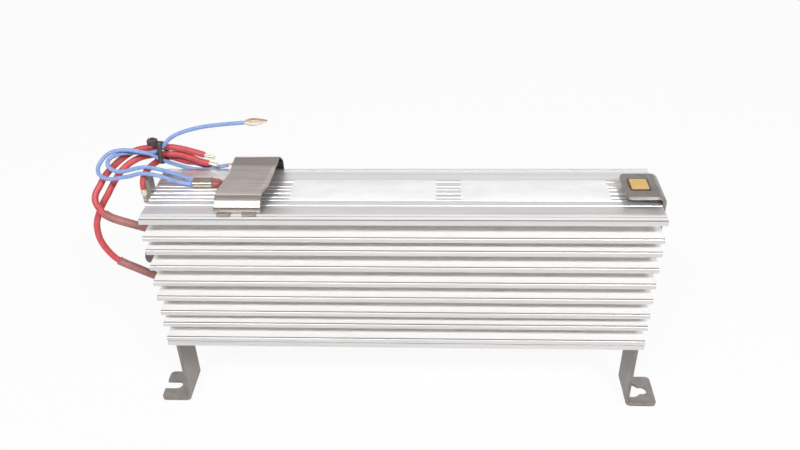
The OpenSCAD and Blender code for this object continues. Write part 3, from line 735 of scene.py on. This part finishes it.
class ResistorFinishes(bpy.types.PropertyGroup):
    """Colours of the finishes."""

    aluminium: colour_property("Aluminium", (0.72, 0.71, 0.71), "Drawn faces of the bar")
    fins: colour_property("Between the fins", (0.91, 0.895, 0.885), "Matt oxide between the fins")
    bracket: colour_property("Brackets", (0.3, 0.275, 0.26), "Plated bracket sheet")
    clip: colour_property("Clip", (0.345, 0.31, 0.292), "Brushed spring sheet")
    can: colour_property("Can", (0.38, 0.345, 0.3), "Plated can of the thermostat")
    resin: colour_property("Resin", (0.42, 0.085, 0.08), "Resin that seals the can")
    red: colour_property("Red leads", (0.6, 0.085, 0.095), "Insulation of the power leads")
    blue: colour_property("Blue leads", (0.25, 0.38, 0.7), "Insulation of the thin leads")
    sleeve: colour_property("Sleeves", (0.36, 0.14, 0.125), "Varnished braid")
    label: colour_property("Labels", (0.88, 0.88, 0.88), "Blank film labels")
    amber: colour_property("Amber field", (0.68, 0.44, 0.135), "Field of the amber label")
    rim: colour_property("Dark rim", (0.075, 0.04, 0.025), "Rim of the amber label")
    tie: colour_property("Tie", (0.06, 0.045, 0.045), "Nylon of the tie")


class ResistorLeads(bpy.types.PropertyGroup):
    """Sizes of the leads, their sleeves and their bare ends."""

    red_d: length_property("Red lead", 2.8, 2, 3, "Diameter of the red leads")
    blue_d: length_property("Blue lead", 1.7, 1, 2, "Diameter of the blue leads")
    sleeve_d: length_property("Sleeve", 3.8, 3, 4.5, "Diameter over the braided sleeves")
    bare_l: length_property("Bare end", 4.5, 3, 8, "Length of the stripped conductor")
    long_bare_l: length_property("Long bare end", 10.2, 4, 12, "The same on the long blue lead")
    carriers: IntProperty(
        name="Carriers", description="Threads each way round the braid", default=8, min=4, max=16,
    )
    sides: IntProperty(
        name="Sides", description="Columns of faces round a lead", default=24, min=8, max=48,
    )


class ResistorStudio(bpy.types.PropertyGroup):
    """Camera, lamps and floor."""

    camera_place: FloatVectorProperty(
        name="Camera", description="Place of the camera", size=3, subtype="TRANSLATION",
        default=(0.01481, -0.28561, 0.29401), unit="LENGTH", precision=5,
    )
    camera_turn: FloatVectorProperty(
        name="Camera angles", description="Heading, pitch below the horizon and roll", size=3,
        subtype="EULER", default=tuple(np.radians((3.16, -34.34, -1.60))), precision=4,
    )
    lens: FloatProperty(
        name="Lens", description="Focal length on a 36 mm sensor", default=36.54, min=20, max=90,
    )
    key: FloatProperty(
        name="Lamps", description="Power that the lamps share",
        default=12.4, min=0, subtype="POWER",
    )
    ambient: FloatProperty(
        name="Ambient", description="Strength of the even light from all round",
        default=0.17, min=0, max=2,
    )
    floor: colour_property("Floor", (0.86, 0.86, 0.86), "Pale floor")
    backdrop: FloatProperty(
        name="Background share", description="How far the floor takes the background's white",
        default=0.92, min=0, max=1, subtype="FACTOR",
    )


GROUPS = {
    ResistorFinishes: "resistor_finishes",
    ResistorLeads: "resistor_leads",
    ResistorStudio: "resistor_studio",
}


# ---- Operators ---------------------------------------------------------------------


class RESISTOR_OT_studio(bpy.types.Operator):
    """Pale floor, even light, two short lamps above the front, and the camera"""

    bl_idname = "resistor.studio"
    bl_label = "Studio"

    def execute(self, context):
        studio = context.scene.resistor_studio
        context.scene.view_settings.view_transform = "Standard"
        self.make_camera(context, studio)
        self.make_lamps(context, studio)
        self.make_world(context, studio)
        self.make_floor(context, studio)
        return {"FINISHED"}

    def make_camera(self, context, studio):
        heading, pitch, roll = studio.camera_turn
        turn = Euler((np.pi / 2 + pitch, 0, heading)).to_matrix() @ Matrix.Rotation(roll, 3, "Z")
        data = bpy.data.cameras.new("Camera")
        data.sensor_width = 36
        data.lens = studio.lens
        data.clip_start, data.clip_end = 0.01, 20
        camera = add_object("Camera", data)
        camera.matrix_world = Matrix.Translation(studio.camera_place) @ turn.to_4x4()
        context.scene.camera = camera

    def make_lamps(self, context, studio):
        """Each lamp is a rectangle that faces the middle of the bar. Sizes are metres."""
        middle = Vector((0, 0, 0.1))
        lamps = [
            ("KeyLamp", (0.42, -0.67, 0.87), (0.3, 0.12), studio.key * 0.55),
            ("FillLamp", (-0.3, -0.67, 0.87), (0.3, 0.12), studio.key * 0.45),
            ("TopLamp", (0.0, 0.4, 1.0), (1.2, 0.3), studio.key * 0.1),
            ("RearLamp", (0.1, 1.1, 0.12), (1.4, 0.2), studio.key * 0.3),
            ("FrontLamp", (0.0, -1.1, 0.4), (1.6, 0.3), studio.key * 0.03),
        ]
        for name, place, size, power in lamps:
            data = bpy.data.lights.new(name, "AREA")
            data.shape = "RECTANGLE"
            data.size, data.size_y = size
            data.energy = power
            way = Vector(place) - middle
            add_object(name, data).matrix_world = (
                Matrix.Translation(place) @ way.to_track_quat("Z", "Y").to_matrix().to_4x4()
            )

    def make_world(self, context, studio):
        """The camera sees white. Metal sees a wall that pales upwards, with a dark stretch
        behind the camera, and the even light that falls on everything is plainer."""
        world = bpy.data.worlds.new("Studio")
        context.scene.world = world
        world.use_nodes = True
        g = Graph(world.node_tree)
        even = g.tree.nodes["Background"]
        g.fill(even, {"Strength": studio.ambient, "Color": (1.0, 0.985, 0.97, 1)})
        _, y, z = g.split(g.add("TexCoord").outputs["Generated"])
        stops = [
            (place, (light, light * 0.985, light * 0.975))
            for place, light in ((0.5, 0.5), (0.76, 0.7), (0.95, 0.95))
        ]
        behind = g.math("MULTIPLY", g.level(y, -0.2, -0.5), g.level(z, 0.55, 0.3))
        behind = g.math("MULTIPLY", behind, g.level(z, -0.15, -0.05))
        pale, dark = g.ramp(g.level(z, -1, 1), *stops), (0.16, 0.15, 0.145)
        wall = g.add("Background", {"Color": g.blend(behind, pale, dark)})
        white = g.add("Background", {"Color": (1, 1, 1, 1)})
        ray = g.add("LightPath").outputs
        mirrored = g.math("MAXIMUM", ray["Is Glossy Ray"], ray["Is Transmission Ray"])
        seen = g.mix(ray["Is Camera Ray"], g.mix(mirrored, even, wall), white)
        g.fill(g.tree.nodes["World Output"], {"Surface": seen.outputs[0]})

    def make_floor(self, context, studio):
        """A wide floor, which takes part of the background's white where it is seen."""
        across = np.linspace(-3000, 3000, 13)
        x, y = np.meshgrid(across, across)
        mesh = Skin().grid(np.stack([x, y, np.zeros_like(x)], -1)).mesh("Floor")
        f = Finish("Pale floor", Roughness=0.9)
        f.fill(f.shader, {"Specular IOR Level": 0.1})
        cloud = f.noise(f.place((3, 3, 3)), detail=2)
        stops = zip((0.3, 0.7), tones(studio.floor, 0.985, 1.015))
        mesh.materials.append(f.shade(Base_Color=f.ramp(cloud, *stops)))
        glow = f.add("Emission", {"Color": (1, 1, 1, 1), "Strength": 1.0})
        ray = f.add("LightPath").outputs
        seen = f.math("MAXIMUM", ray["Is Camera Ray"], ray["Is Transmission Ray"])
        seen = f.math("MAXIMUM", seen, f.math("MULTIPLY", ray["Is Glossy Ray"], 0.3))
        mix = f.mix(f.math("MULTIPLY", seen, studio.backdrop), f.shader, glow)
        f.fill(f.tree.nodes["Material Output"], {"Surface": mix.outputs[0]})
        add_object("Floor", mesh)


class RESISTOR_OT_leads(bpy.types.Operator):
    """Insulated leads with stranded bare ends, on the routes above"""

    bl_idname = "resistor.leads"
    bl_label = "Leads"

    STEP = 0.4
    EXITS = {"power_lead_upper": 1, "power_lead_lower": 1}  # route points, 0 for the others

    def execute(self, context):
        leads = context.scene.resistor_leads
        red = silicone("Red silicone", chosen("red"))
        blue = silicone("Blue insulation", chosen("blue"))
        tinned = stranded_copper("Tinned strands", (0.72, 0.66, 0.56))
        copper = stranded_copper("Bare copper", (0.72, 0.42, 0.26))
        cotton = moulded_plastic("Pale fibres", (0.8, 0.74, 0.62), rough=0.6)
        thick = leads.red_d / MM, red, "red_silicone"
        thin = leads.blue_d / MM, blue, "blue_insulation"
        rows = [
            ("power_lead_upper", UPPER_ROUTE, *thick, leads.bare_l),
            ("power_lead_lower", LOWER_ROUTE, *thick, leads.bare_l),
            ("earth_lead", EARTH_ROUTE, *thick, leads.bare_l),
            ("thermostat_lead_long", LONG_ROUTE, *thin, leads.long_bare_l),
            ("thermostat_lead_short", SHORT_ROUTE, *thin, leads.bare_l),
        ]
        for seed, (node, route, d, skin, slot, bare) in enumerate(rows):
            path = smooth_path(route, self.STEP)
            lead = add_piece(node, self.insulation(path, d, leads.sides, seed), skin, slot)
            long = route is LONG_ROUTE
            metal = (copper, "bare_copper") if d < 2 else (tinned, "tinned")
            strands = self.strands(path, d, bare / MM, seed, 0.5 if long else 1)
            parts = [("Strands", strands, *metal)]
            if long:
                parts.append(("Fibres", self.fibres(path, d, bare / MM), cotton, "tinned"))
            ends = [
                add_piece("bare_ends", *part, name=piece_name(node) + end)
                for end, *part in parts
            ]
        return {"FINISHED"}

    def insulation(self, path, d, sides, seed):
        """The radius is half the diameter, with a slow ripple of a hundredth, and the cut
        end is drawn in a little."""
        rows = len(path)
        angle = ring_angles(rows, sides)
        run = np.arange(rows)[:, None] * self.STEP + 0 * angle
        radius = d / 2 * (1 + 0.01 * ripple(run, np.cos(angle), np.sin(angle), seed=seed, reach=9))
        radius[-1] *= 0.93
        return Skin().tube(turned_about(path, radius, angle))

    def end_frame(self, path):
        """The last point of a path, its heading there and two directions square to it."""
        way = unit(path[-1] - path[-3])
        _, side, up = carried_frames(np.array([path[-1], path[-1] + way, path[-1] + 2 * way]))
        return path[-1], way, side[0], up[0]

    def strands(self, path, d, length, seed, share=1.0):
        """One straight strand and six round it in a helix: each runs at its own angle,
        two strand radii from the middle, and turns once in nine millimetres."""
        rng = np.random.default_rng(40 + seed)
        start, way, side, up = self.end_frame(path)
        strand_r = share * d * (0.64 if d > 2 else 0.7) / 6
        skin = Skin()
        for k in range(7):
            reach = length + rng.uniform(-0.5, 0)
            run = np.linspace(-0.6, reach, 26)[:, None]
            turn = 2 * np.pi * (k / 6 + run / 9)
            out = 0 if k == 6 else 2 * strand_r * (1 + 0.12 * (run / length) ** 2)
            line = start + run * way + out * (np.cos(turn) * side + np.sin(turn) * up)
            radius = np.full((len(line), 10), strand_r * 1.02)
            radius[-1] *= 0.6
            skin.tube(turned_about(line, radius, ring_angles(len(line), 10)))
        return skin

    def fibres(self, path, d, length):
        """Loosened pale strands round the copper. They part into a spindle: at a share t of
        its length it is as wide as sin(pi t ^ 0.8), and the strands meet again at the tip.
        Those on the upper front are left out, so that the copper shows between them."""
        start, way, side, up = self.end_frame(path)
        skin, count = Skin(), 22
        front = unit(np.array([0.0, -0.6, 1.0]))
        run = np.linspace(-0.3, length * 0.93, 34)
        t = np.clip(run / run[-1], 0, 1)
        for k in range(count):
            turn = 2 * np.pi * k / count + 0.5 * t
            spoke = np.cos(turn)[:, None] * side + np.sin(turn)[:, None] * up
            if (spoke[len(t) // 2] @ front) > 0.8:
                continue
            out = d * (0.3 + 0.62 * np.sin(np.pi * t**0.8)) * (1 + 0.06 * np.cos(5.0 * k))
            line = start + run[:, None] * way + out[:, None] * spoke
            radius = np.full((len(line), 6), 0.2) * (1 - 0.45 * t[:, None])
            skin.tube(turned_about(line, radius, ring_angles(len(line), 6)))
        return skin


class RESISTOR_OT_sleeves(bpy.types.Operator):
    """Braided glass sleeves over the power leads where they leave the bar"""

    bl_idname = "resistor.sleeves"
    bl_label = "Sleeves"

    STEP = 0.16
    TURN = 2.6  # turn of the braid in radians of a thread for each millimetre
    FRAY_L = 2

    def execute(self, context):
        leads = context.scene.resistor_leads
        finish = glass_braid()
        outer, inner = leads.sleeve_d / MM / 2, leads.red_d / MM / 2
        for node, route in (("sleeve_upper", UPPER_ROUTE), ("sleeve_lower", LOWER_ROUTE)):
            path = smooth_path(route, self.STEP)
            end = np.array(route[SLEEVE_POINTS[node] - 1])
            path = path[: np.argmin(np.linalg.norm(path - end, axis=1)) + 1]
            skin = self.braid(path, outer, inner, leads.carriers)
            add_piece(node, skin, finish, "glass_sleeve", smooth=60)
        return {"FINISHED"}

    def braid(self, path, outer, inner, carriers):
        """Two families of threads wind round the lead against each other. The height at a
        point is the crown of the nearer thread, and the two take turns to lie on top. The
        end flares and frays."""
        rows, sides = len(path), 8 * carriers
        angle = ring_angles(rows, sides)
        run = np.arange(rows)[:, None] * self.STEP
        left, right = carriers * angle + run * self.TURN, carriers * angle - run * self.TURN
        over = 0.5 + 0.5 * np.sin((left + right) / 2) * np.sin((left - right) / 2)
        crown = np.maximum(np.abs(np.cos(left / 2)) * over, np.abs(np.cos(right / 2)) * (1 - over))
        to_end = np.clip((run - run[-1] + self.FRAY_L) / self.FRAY_L, 0, 1)
        radius = outer - 0.16 + 0.2 * crown + 0.1 * to_end**2 * (1 + np.sin(3 * angle))
        outside = turned_about(path, radius, angle)
        inside = turned_about(path, np.full_like(radius, inner + 0.05), angle)
        fray = 0.25 * ripple(np.cos(angle[0]), np.sin(angle[0]), seed=3, reach=0.5)
        outside[-1] += fray[:, None] * unit(path[-1] - path[-2])
        return Skin().grid(np.concatenate([outside, inside[::-1]]), around=True, closed=True)


class RESISTOR_OT_clip(bpy.types.Operator):
    """Folded spring clip over the slab"""

    bl_idname = "resistor.clip"
    bl_label = "Spring clip"

    SHEET = 0.6
    SKEW = 3.8
    RIGHT_EDGE = ((-30, -10, -4, 8, 30), (0, 0, 0.5, 1, 1))  # Y, and share of the skew there
    LEFT_EDGE = ((-30, -8, 2.5, 30), (0, 0, 1, 1))
    TOE_W = 5.6
    TOE_INSET = 1.6
    TOE_Y = -15.6
    COLUMNS = 8  # faces across each of the five stretches of the front edge

    def execute(self, context):
        low, high = box_mm("spring_clip")
        half = self.SHEET / 2
        width = high[0] - low[0] - self.SKEW
        rear, top = high[1] - half, high[2] - half - 0.2
        toe_z, hook_z = HOUSING_HIGH[2] + half, low[2] + half
        line = rounded_line([
            (HOUSING_HIGH[1] - 3, hook_z, 0), (rear, hook_z, 0.6), (rear, top - 5.4, 3),
            (14.5, top + 0.2, 4), (7, top - 0.2, 6), (-9.4, top - 3.5, 0.8), (-10, top - 4.1, 0.5),
            (-12.6, top - 4.5, 1.2), (-15.2, top - 7, 1), (-14.6, toe_z, 0.5), (-18.2, toe_z, 0),
        ])
        skin = self.sheet(line, low[0] + width / 2, width)
        piece = add_piece("spring_clip", skin, spring_steel(), "clip_steel", smooth=50)
        wall = piece.modifiers.new("Sheet", "SOLIDIFY")
        wall.thickness, wall.offset = self.SHEET * MM, 0
        # The inner face of the sheet takes a copy of the steel at 0.35 of its colour: painted shade
        # under the clip.
        piece.data.materials.append(spring_steel("Spring steel inside", 0.35))
        wall.material_offset = 1
        break_edges(piece, 0.12, 50)
        return {"FINISHED"}

    def sheet(self, line, middle, width):
        """Columns run across the clip between edges that shift sideways from the front to
        the rear, and rows follow the folded line. The toes are the columns that go on
        where the rest of the front ends."""
        line = even_points(line, 0.35)
        y, z = line[:, :1], line[:, 1:]
        right, left = (
            np.interp(y, at, np.array(shares) * self.SKEW) + side * width / 2
            for side, (at, shares) in ((1, self.RIGHT_EDGE), (-1, self.LEFT_EDGE))
        )
        outer = width / 2 - self.TOE_INSET
        stops = [-width / 2, -outer, self.TOE_W - outer, outer - self.TOE_W, outer, width / 2]
        share = [np.linspace(a, b, self.COLUMNS + 1)[:-1] for a, b in zip(stops, stops[1:])]
        share = np.r_[np.concatenate(share), stops[-1]] / width + 0.5
        x = middle + left + (right - left) * share
        wave = 0.06 * ripple(x, y + 0 * x, seed=11, reach=16)
        curl = 0.9 * step(share, 0.9, 1.04) * step(y, -9, -5) * step(-y, -7, -2)
        grid = np.stack([x, y + 0 * x, z + wave * (np.abs(y) < 14) - curl], -1)
        toes = np.flatnonzero((line[:, 0] < self.TOE_Y) & (line[:, 1] < HOUSING_HIGH[2] + 1.2))[0]
        skin = Skin().grid(grid[: toes + 1])
        for first in (self.COLUMNS, 3 * self.COLUMNS):
            skin.grid(grid[toes:, first : first + self.COLUMNS + 1])
        return skin


class RESISTOR_OT_housing(bpy.types.Operator):
    """Aluminium bar, its seals and the element inside"""

    bl_idname = "resistor.housing"
    bl_label = "Bar and element"

    def execute(self, context):
        paint_node("housing", extruded_aluminium())
        board = mica()
        for node in ("winding_card", "mica_sheet_front", "mica_sheet_rear"):
            paint_node(node, board)
        paint_node("resistance_winding", resistance_ribbon())
        cement = potting_cement()
        for node in ("end_seal_left", "end_seal_right"):
            paint_node(node, cement)
        paint_node("ceramic_stub", glazed_ceramic())
        crimp = stranded_copper("Crimped tubes", (0.7, 0.62, 0.45))
        for node in ("splice_upper", "splice_lower"):
            paint_node(node, crimp)
        return {"FINISHED"}


class RESISTOR_OT_brackets(bpy.types.Operator):
    """End brackets and their screws"""

    bl_idname = "resistor.brackets"
    bl_label = "Brackets"

    def execute(self, context):
        steel = stamped_steel()
        softened_copy("left_bracket", steel, "bracket_steel")
        softened_copy("right_bracket", steel, "bracket_steel")
        softened_copy("bracket_screws", screw_plate(), "screw_steel", 0.12)
        return {"FINISHED"}


class RESISTOR_OT_thermostat(bpy.types.Operator):
    """Thermostat can with its resin"""

    bl_idname = "resistor.thermostat"
    bl_label = "Thermostat"

    def execute(self, context):
        low, high = box_mm("thermostat_can")
        tip = box_mm("thermostat_resin")[1][0]
        add_piece("thermostat_can", self.can(low, high), plated_can(), "can_metal", smooth=50)
        resin = self.resin(low, high, tip)
        add_piece("thermostat_resin", resin, cast_resin(), "resin", smooth=60)
        return {"FINISHED"}

    def can(self, low, high):
        """A drawn can along X. A panel is pressed into its top and bottom, inside a rim."""
        size = high - low
        rings = block_rings((size[1], size[2], size[0]), 1.0, 0.3, 120, 60)
        y, z, x = np.moveaxis(rings, -1, 0)
        inside = step(size[1] / 2 - np.abs(y), 0.7, 1.0)
        inside = inside * step(x, 0.5, 0.8) * step(size[0] - x, 0.5, 0.8)
        z = z - 0.22 * inside * np.sign(z) * step(np.abs(z), size[2] / 2 - 0.3, size[2] / 2 - 0.05)
        middle = (low + high) / 2
        return Skin().tube(np.stack([x + low[0], y + middle[1], z + middle[2]], -1))

    def resin(self, low, high, end):
        """A blob that fills the can's open end: its section is nearly the can's, and
        shrinks as the square root of 1 - t^2.2 towards its tip."""
        middle, size = (low + high) / 2, high - low
        rows, sides = 40, 56
        angle = ring_angles(rows, sides)
        t = np.sin(np.linspace(0, np.pi / 2, rows))[:, None]
        shrink = np.sqrt(np.maximum(1 - t**2.2, 1e-4))
        power = 2.8
        blunt = np.abs(np.cos(angle)) ** power + np.abs(np.sin(angle)) ** power
        blunt = 1 / blunt ** (1 / power)
        lump = 1 + 0.07 * step(t, 0.1, 0.4) * ripple(
            3 * t, np.cos(angle), np.sin(angle), seed=21, reach=1.2
        )
        radius = shrink * blunt * lump
        start = high[0] - 0.05
        x = start + (end - start) * t + 0 * angle
        y = middle[1] + (size[1] / 2 - 0.12) * radius * np.cos(angle) - 0.3 * t**2
        z = middle[2] + (size[2] / 2 - 0.12) * radius * np.sin(angle) + 0.1 * t
        return Skin().tube(np.stack([x, y, z], -1))


class RESISTOR_OT_labels(bpy.types.Operator):
    """Blank labels on the slab and the amber label on the tongue"""

    bl_idname = "resistor.labels"
    bl_label = "Labels"

    def execute(self, context):
        white = film_label("White film", chosen("label"))
        rim = film_label("Dark rim", chosen("rim"))
        amber = film_label("Amber film", chosen("amber"))
        rows = [
            ("label_left", white, "white_label", 0.5),
            ("label_right", white, "white_label", 0.5),
            ("amber_label", rim, "dark_label", 1.0),
            ("amber_label_field", amber, "amber_label", 0.7),
        ]
        for node, finish, slot, corner in rows:
            low, high = box_mm(node)
            size = high - low
            rings = block_rings(size, corner, size[2] * 0.4, 160, 2, 3)
            rings = rings + [*((low + high) / 2)[:2], low[2]]
            add_piece(node, Skin().tube(rings), finish, slot, smooth=50)
        return {"FINISHED"}


class RESISTOR_OT_earth(bpy.types.Operator):
    """Crimped earth lug and its sleeve"""

    bl_idname = "resistor.earth"
    bl_label = "Earth lug"

    BARREL_R = 1.3
    BARREL_L = 4.0
    CRIMPS = (1.1, 2.8)  # how far the crimps lie under the barrel's rim

    def execute(self, context):
        tin = stranded_copper("Tinned lug", (0.7, 0.69, 0.67), 0.24)
        cream = moulded_plastic("Cream sleeve", (0.8, 0.72, 0.58))
        add_piece("earth_lug", self.lug(), tin, "crimp", smooth=50)
        inner = context.scene.resistor_leads.red_d / MM / 2 + 0.03
        add_piece("lug_sleeve", self.sleeve(inner), cream, "cream_sleeve", smooth=60)
        return {"FINISHED"}

    def upright(self, low, high, rows):
        """An upright path in line with the start of the earth lead."""
        x, y, _ = EARTH_ROUTE[0]
        z = np.linspace(low, high, rows)
        return z, np.stack([0 * z + x, 0 * z + y, z], 1)

    def sleeve(self, inner):
        """A slightly uneven tube that flares at its top."""
        low, high = box_mm("lug_sleeve")
        z, path = self.upright(low[2], high[2], 20)
        angle = ring_angles(len(z), 40)
        flare = (high[0] - low[0]) / 2 + 0.1 * step(z, high[2] - 1, high[2])[:, None]
        uneven = ripple(z[:, None], np.cos(angle), np.sin(angle), seed=5, reach=2)
        outside = turned_about(path, flare * (1 + 0.02 * uneven), angle)
        inside = turned_about(path, np.full(angle.shape, inner), angle)
        return Skin().grid(np.concatenate([outside, inside[::-1]]), around=True, closed=True)

    def lug(self):
        """The barrel is a cylinder with two crimps pressed in from the front: each is a
        bell curve up the barrel times a bell curve round it. The tongue is a flat blade."""
        low, high = box_mm("earth_lug")
        z, path = self.upright(high[2] - self.BARREL_L, high[2], 40)
        angle = ring_angles(len(z), 48)
        _, side, up = carried_frames(path)
        front = np.cos(angle) * side[0][1] + np.sin(angle) * up[0][1]
        crimp = sum(np.exp(-(((z - high[2] + at) / 0.5) ** 2)) for at in self.CRIMPS)[:, None]
        radius = self.BARREL_R * (1 - 0.24 * crimp * np.exp(-(((front + 1) / 0.35) ** 2)))
        radius[[0, -1]] *= 0.93
        blade = block_rings((8, 6, 0.6), 1.2, 0.12, 64)
        y, z, x = np.moveaxis(blade, -1, 0)
        blade = np.stack([x + high[0] - 0.6, y + high[1] - 4, z + low[2] + 3], -1)
        return Skin().tube(turned_about(path, radius, angle)).tube(blade)


class RESISTOR_OT_tie(bpy.types.Operator):
    """Nylon tie round the leads, with its ratchet head and the cut end of its tail"""

    bl_idname = "resistor.tie"
    bl_label = "Tie"

    BAND_X = -104.2
    BAND_W = 2.0
    BAND_T = 0.8
    HEAD = (4.3, 2.9, 2.7)
    HEAD_AT = (-107.1, 17.0, 129.6)
    TAIL = (1.8, 0.8, 1.6)

    def execute(self, context):
        leads = context.scene.resistor_leads
        nylon = moulded_plastic("Nylon tie", chosen("tie"), rough=0.38)
        top = self.HEAD[2] / 2
        head = block_rings(self.HEAD, 0.7, 0.5, 60, 2, 5) + np.array(self.HEAD_AT) - [0, 0, top]
        tail = block_rings(self.TAIL, 0.2, 0.1, 32) + np.array(self.HEAD_AT) + [0.2, 0.4, top - 1.1]
        skin = self.band(leads.red_d / MM / 2, leads.blue_d / MM / 2).tube(head).tube(tail)
        add_piece("cable_tie", skin, nylon, "tie_plastic", smooth=50)
        return {"FINISHED"}

    def band(self, red_r, blue_r):
        """The band is the tightest loop round the leads and the foot of the head: in each
        direction it touches what reaches furthest. Fine teeth run across its outer face."""
        spots = [(self.HEAD_AT[1], self.HEAD_AT[2] - 0.9, 0.4)]
        rows = [(route, red_r) for route in (UPPER_ROUTE, LOWER_ROUTE, EARTH_ROUTE)]
        for route, r in rows + [(LONG_ROUTE, blue_r), (SHORT_ROUTE, blue_r)]:
            path = smooth_path(route, 0.3)
            path = path[path[:, 1] > 12]
            near = path[np.argmin(np.abs(path[:, 0] - self.BAND_X))]
            spots.append((near[1], near[2], r + 0.1))
        spots, count = np.array(spots), 300
        w = np.linspace(0, 2 * np.pi, 240, endpoint=False)
        way = np.stack([np.cos(w), np.sin(w)], 1)
        furthest = np.argmax(way @ spots[:, :2].T + spots[:, 2], axis=1)
        loop = shared_points(spots[furthest, :2] + spots[furthest, 2:] * way, count)
        out = np.roll(loop, -1, 0) - np.roll(loop, 1, 0)
        out = unit(np.stack([out[:, 1], -out[:, 0]], 1))
        tooth = 0.08 * np.sin(np.arange(count) * 2 * np.pi / 4)
        rings = []
        for across, thick in ((-1, 0), (-1, 0.7), (-0.8, 1), (0.8, 1), (1, 0.7), (1, 0)):
            rise = thick * self.BAND_T + tooth * (thick == 1)
            x = np.full(count, self.BAND_X + across * self.BAND_W / 2)
            rings.append(np.column_stack([x, loop + out * rise[:, None]]))
        return Skin().grid(np.stack(rings, 1), around=True, closed=True)


OPERATORS = (
    RESISTOR_OT_studio, RESISTOR_OT_leads, RESISTOR_OT_sleeves, RESISTOR_OT_housing,
    RESISTOR_OT_brackets, RESISTOR_OT_thermostat, RESISTOR_OT_clip, RESISTOR_OT_labels,
    RESISTOR_OT_earth, RESISTOR_OT_tie,
)


class RESISTOR_PT_parts(bpy.types.Panel):
    """Lists the parts of the resistor and the sizes and colours behind them"""

    bl_idname = "RESISTOR_PT_parts"
    bl_label = "Power resistor"
    bl_space_type = "VIEW_3D"
    bl_region_type = "UI"
    bl_category = "Resistor"

    def draw(self, context):
        column = self.layout.column(align=True)
        for operator in OPERATORS:
            column.operator(operator.bl_idname)
        for group, name in GROUPS.items():
            settings = getattr(context.scene, name)
            box = self.layout.box()
            for key in group.__annotations__:
                box.prop(settings, key)


def register():
    """Registers the classes and puts their settings on the scene."""
    for cls in (*GROUPS, *OPERATORS, RESISTOR_PT_parts):
        bpy.utils.register_class(cls)
    for group, name in GROUPS.items():
        setattr(bpy.types.Scene, name, PointerProperty(type=group))


def unregister():
    """Takes the settings and the classes away again."""
    for name in GROUPS.values():
        delattr(bpy.types.Scene, name)
    for cls in reversed((*GROUPS, *OPERATORS, RESISTOR_PT_parts)):
        bpy.utils.unregister_class(cls)


def main():
    """Makes every piece."""
    for leftover in ("Cube", "Light", "Camera"):
        if leftover in bpy.data.objects:
            bpy.data.objects.remove(bpy.data.objects[leftover])
    register()
    for operator in OPERATORS:
        getattr(bpy.ops.resistor, operator.bl_idname.split(".")[1])()
    bpy.context.view_layer.update()


if __name__ == "__main__":
    main()
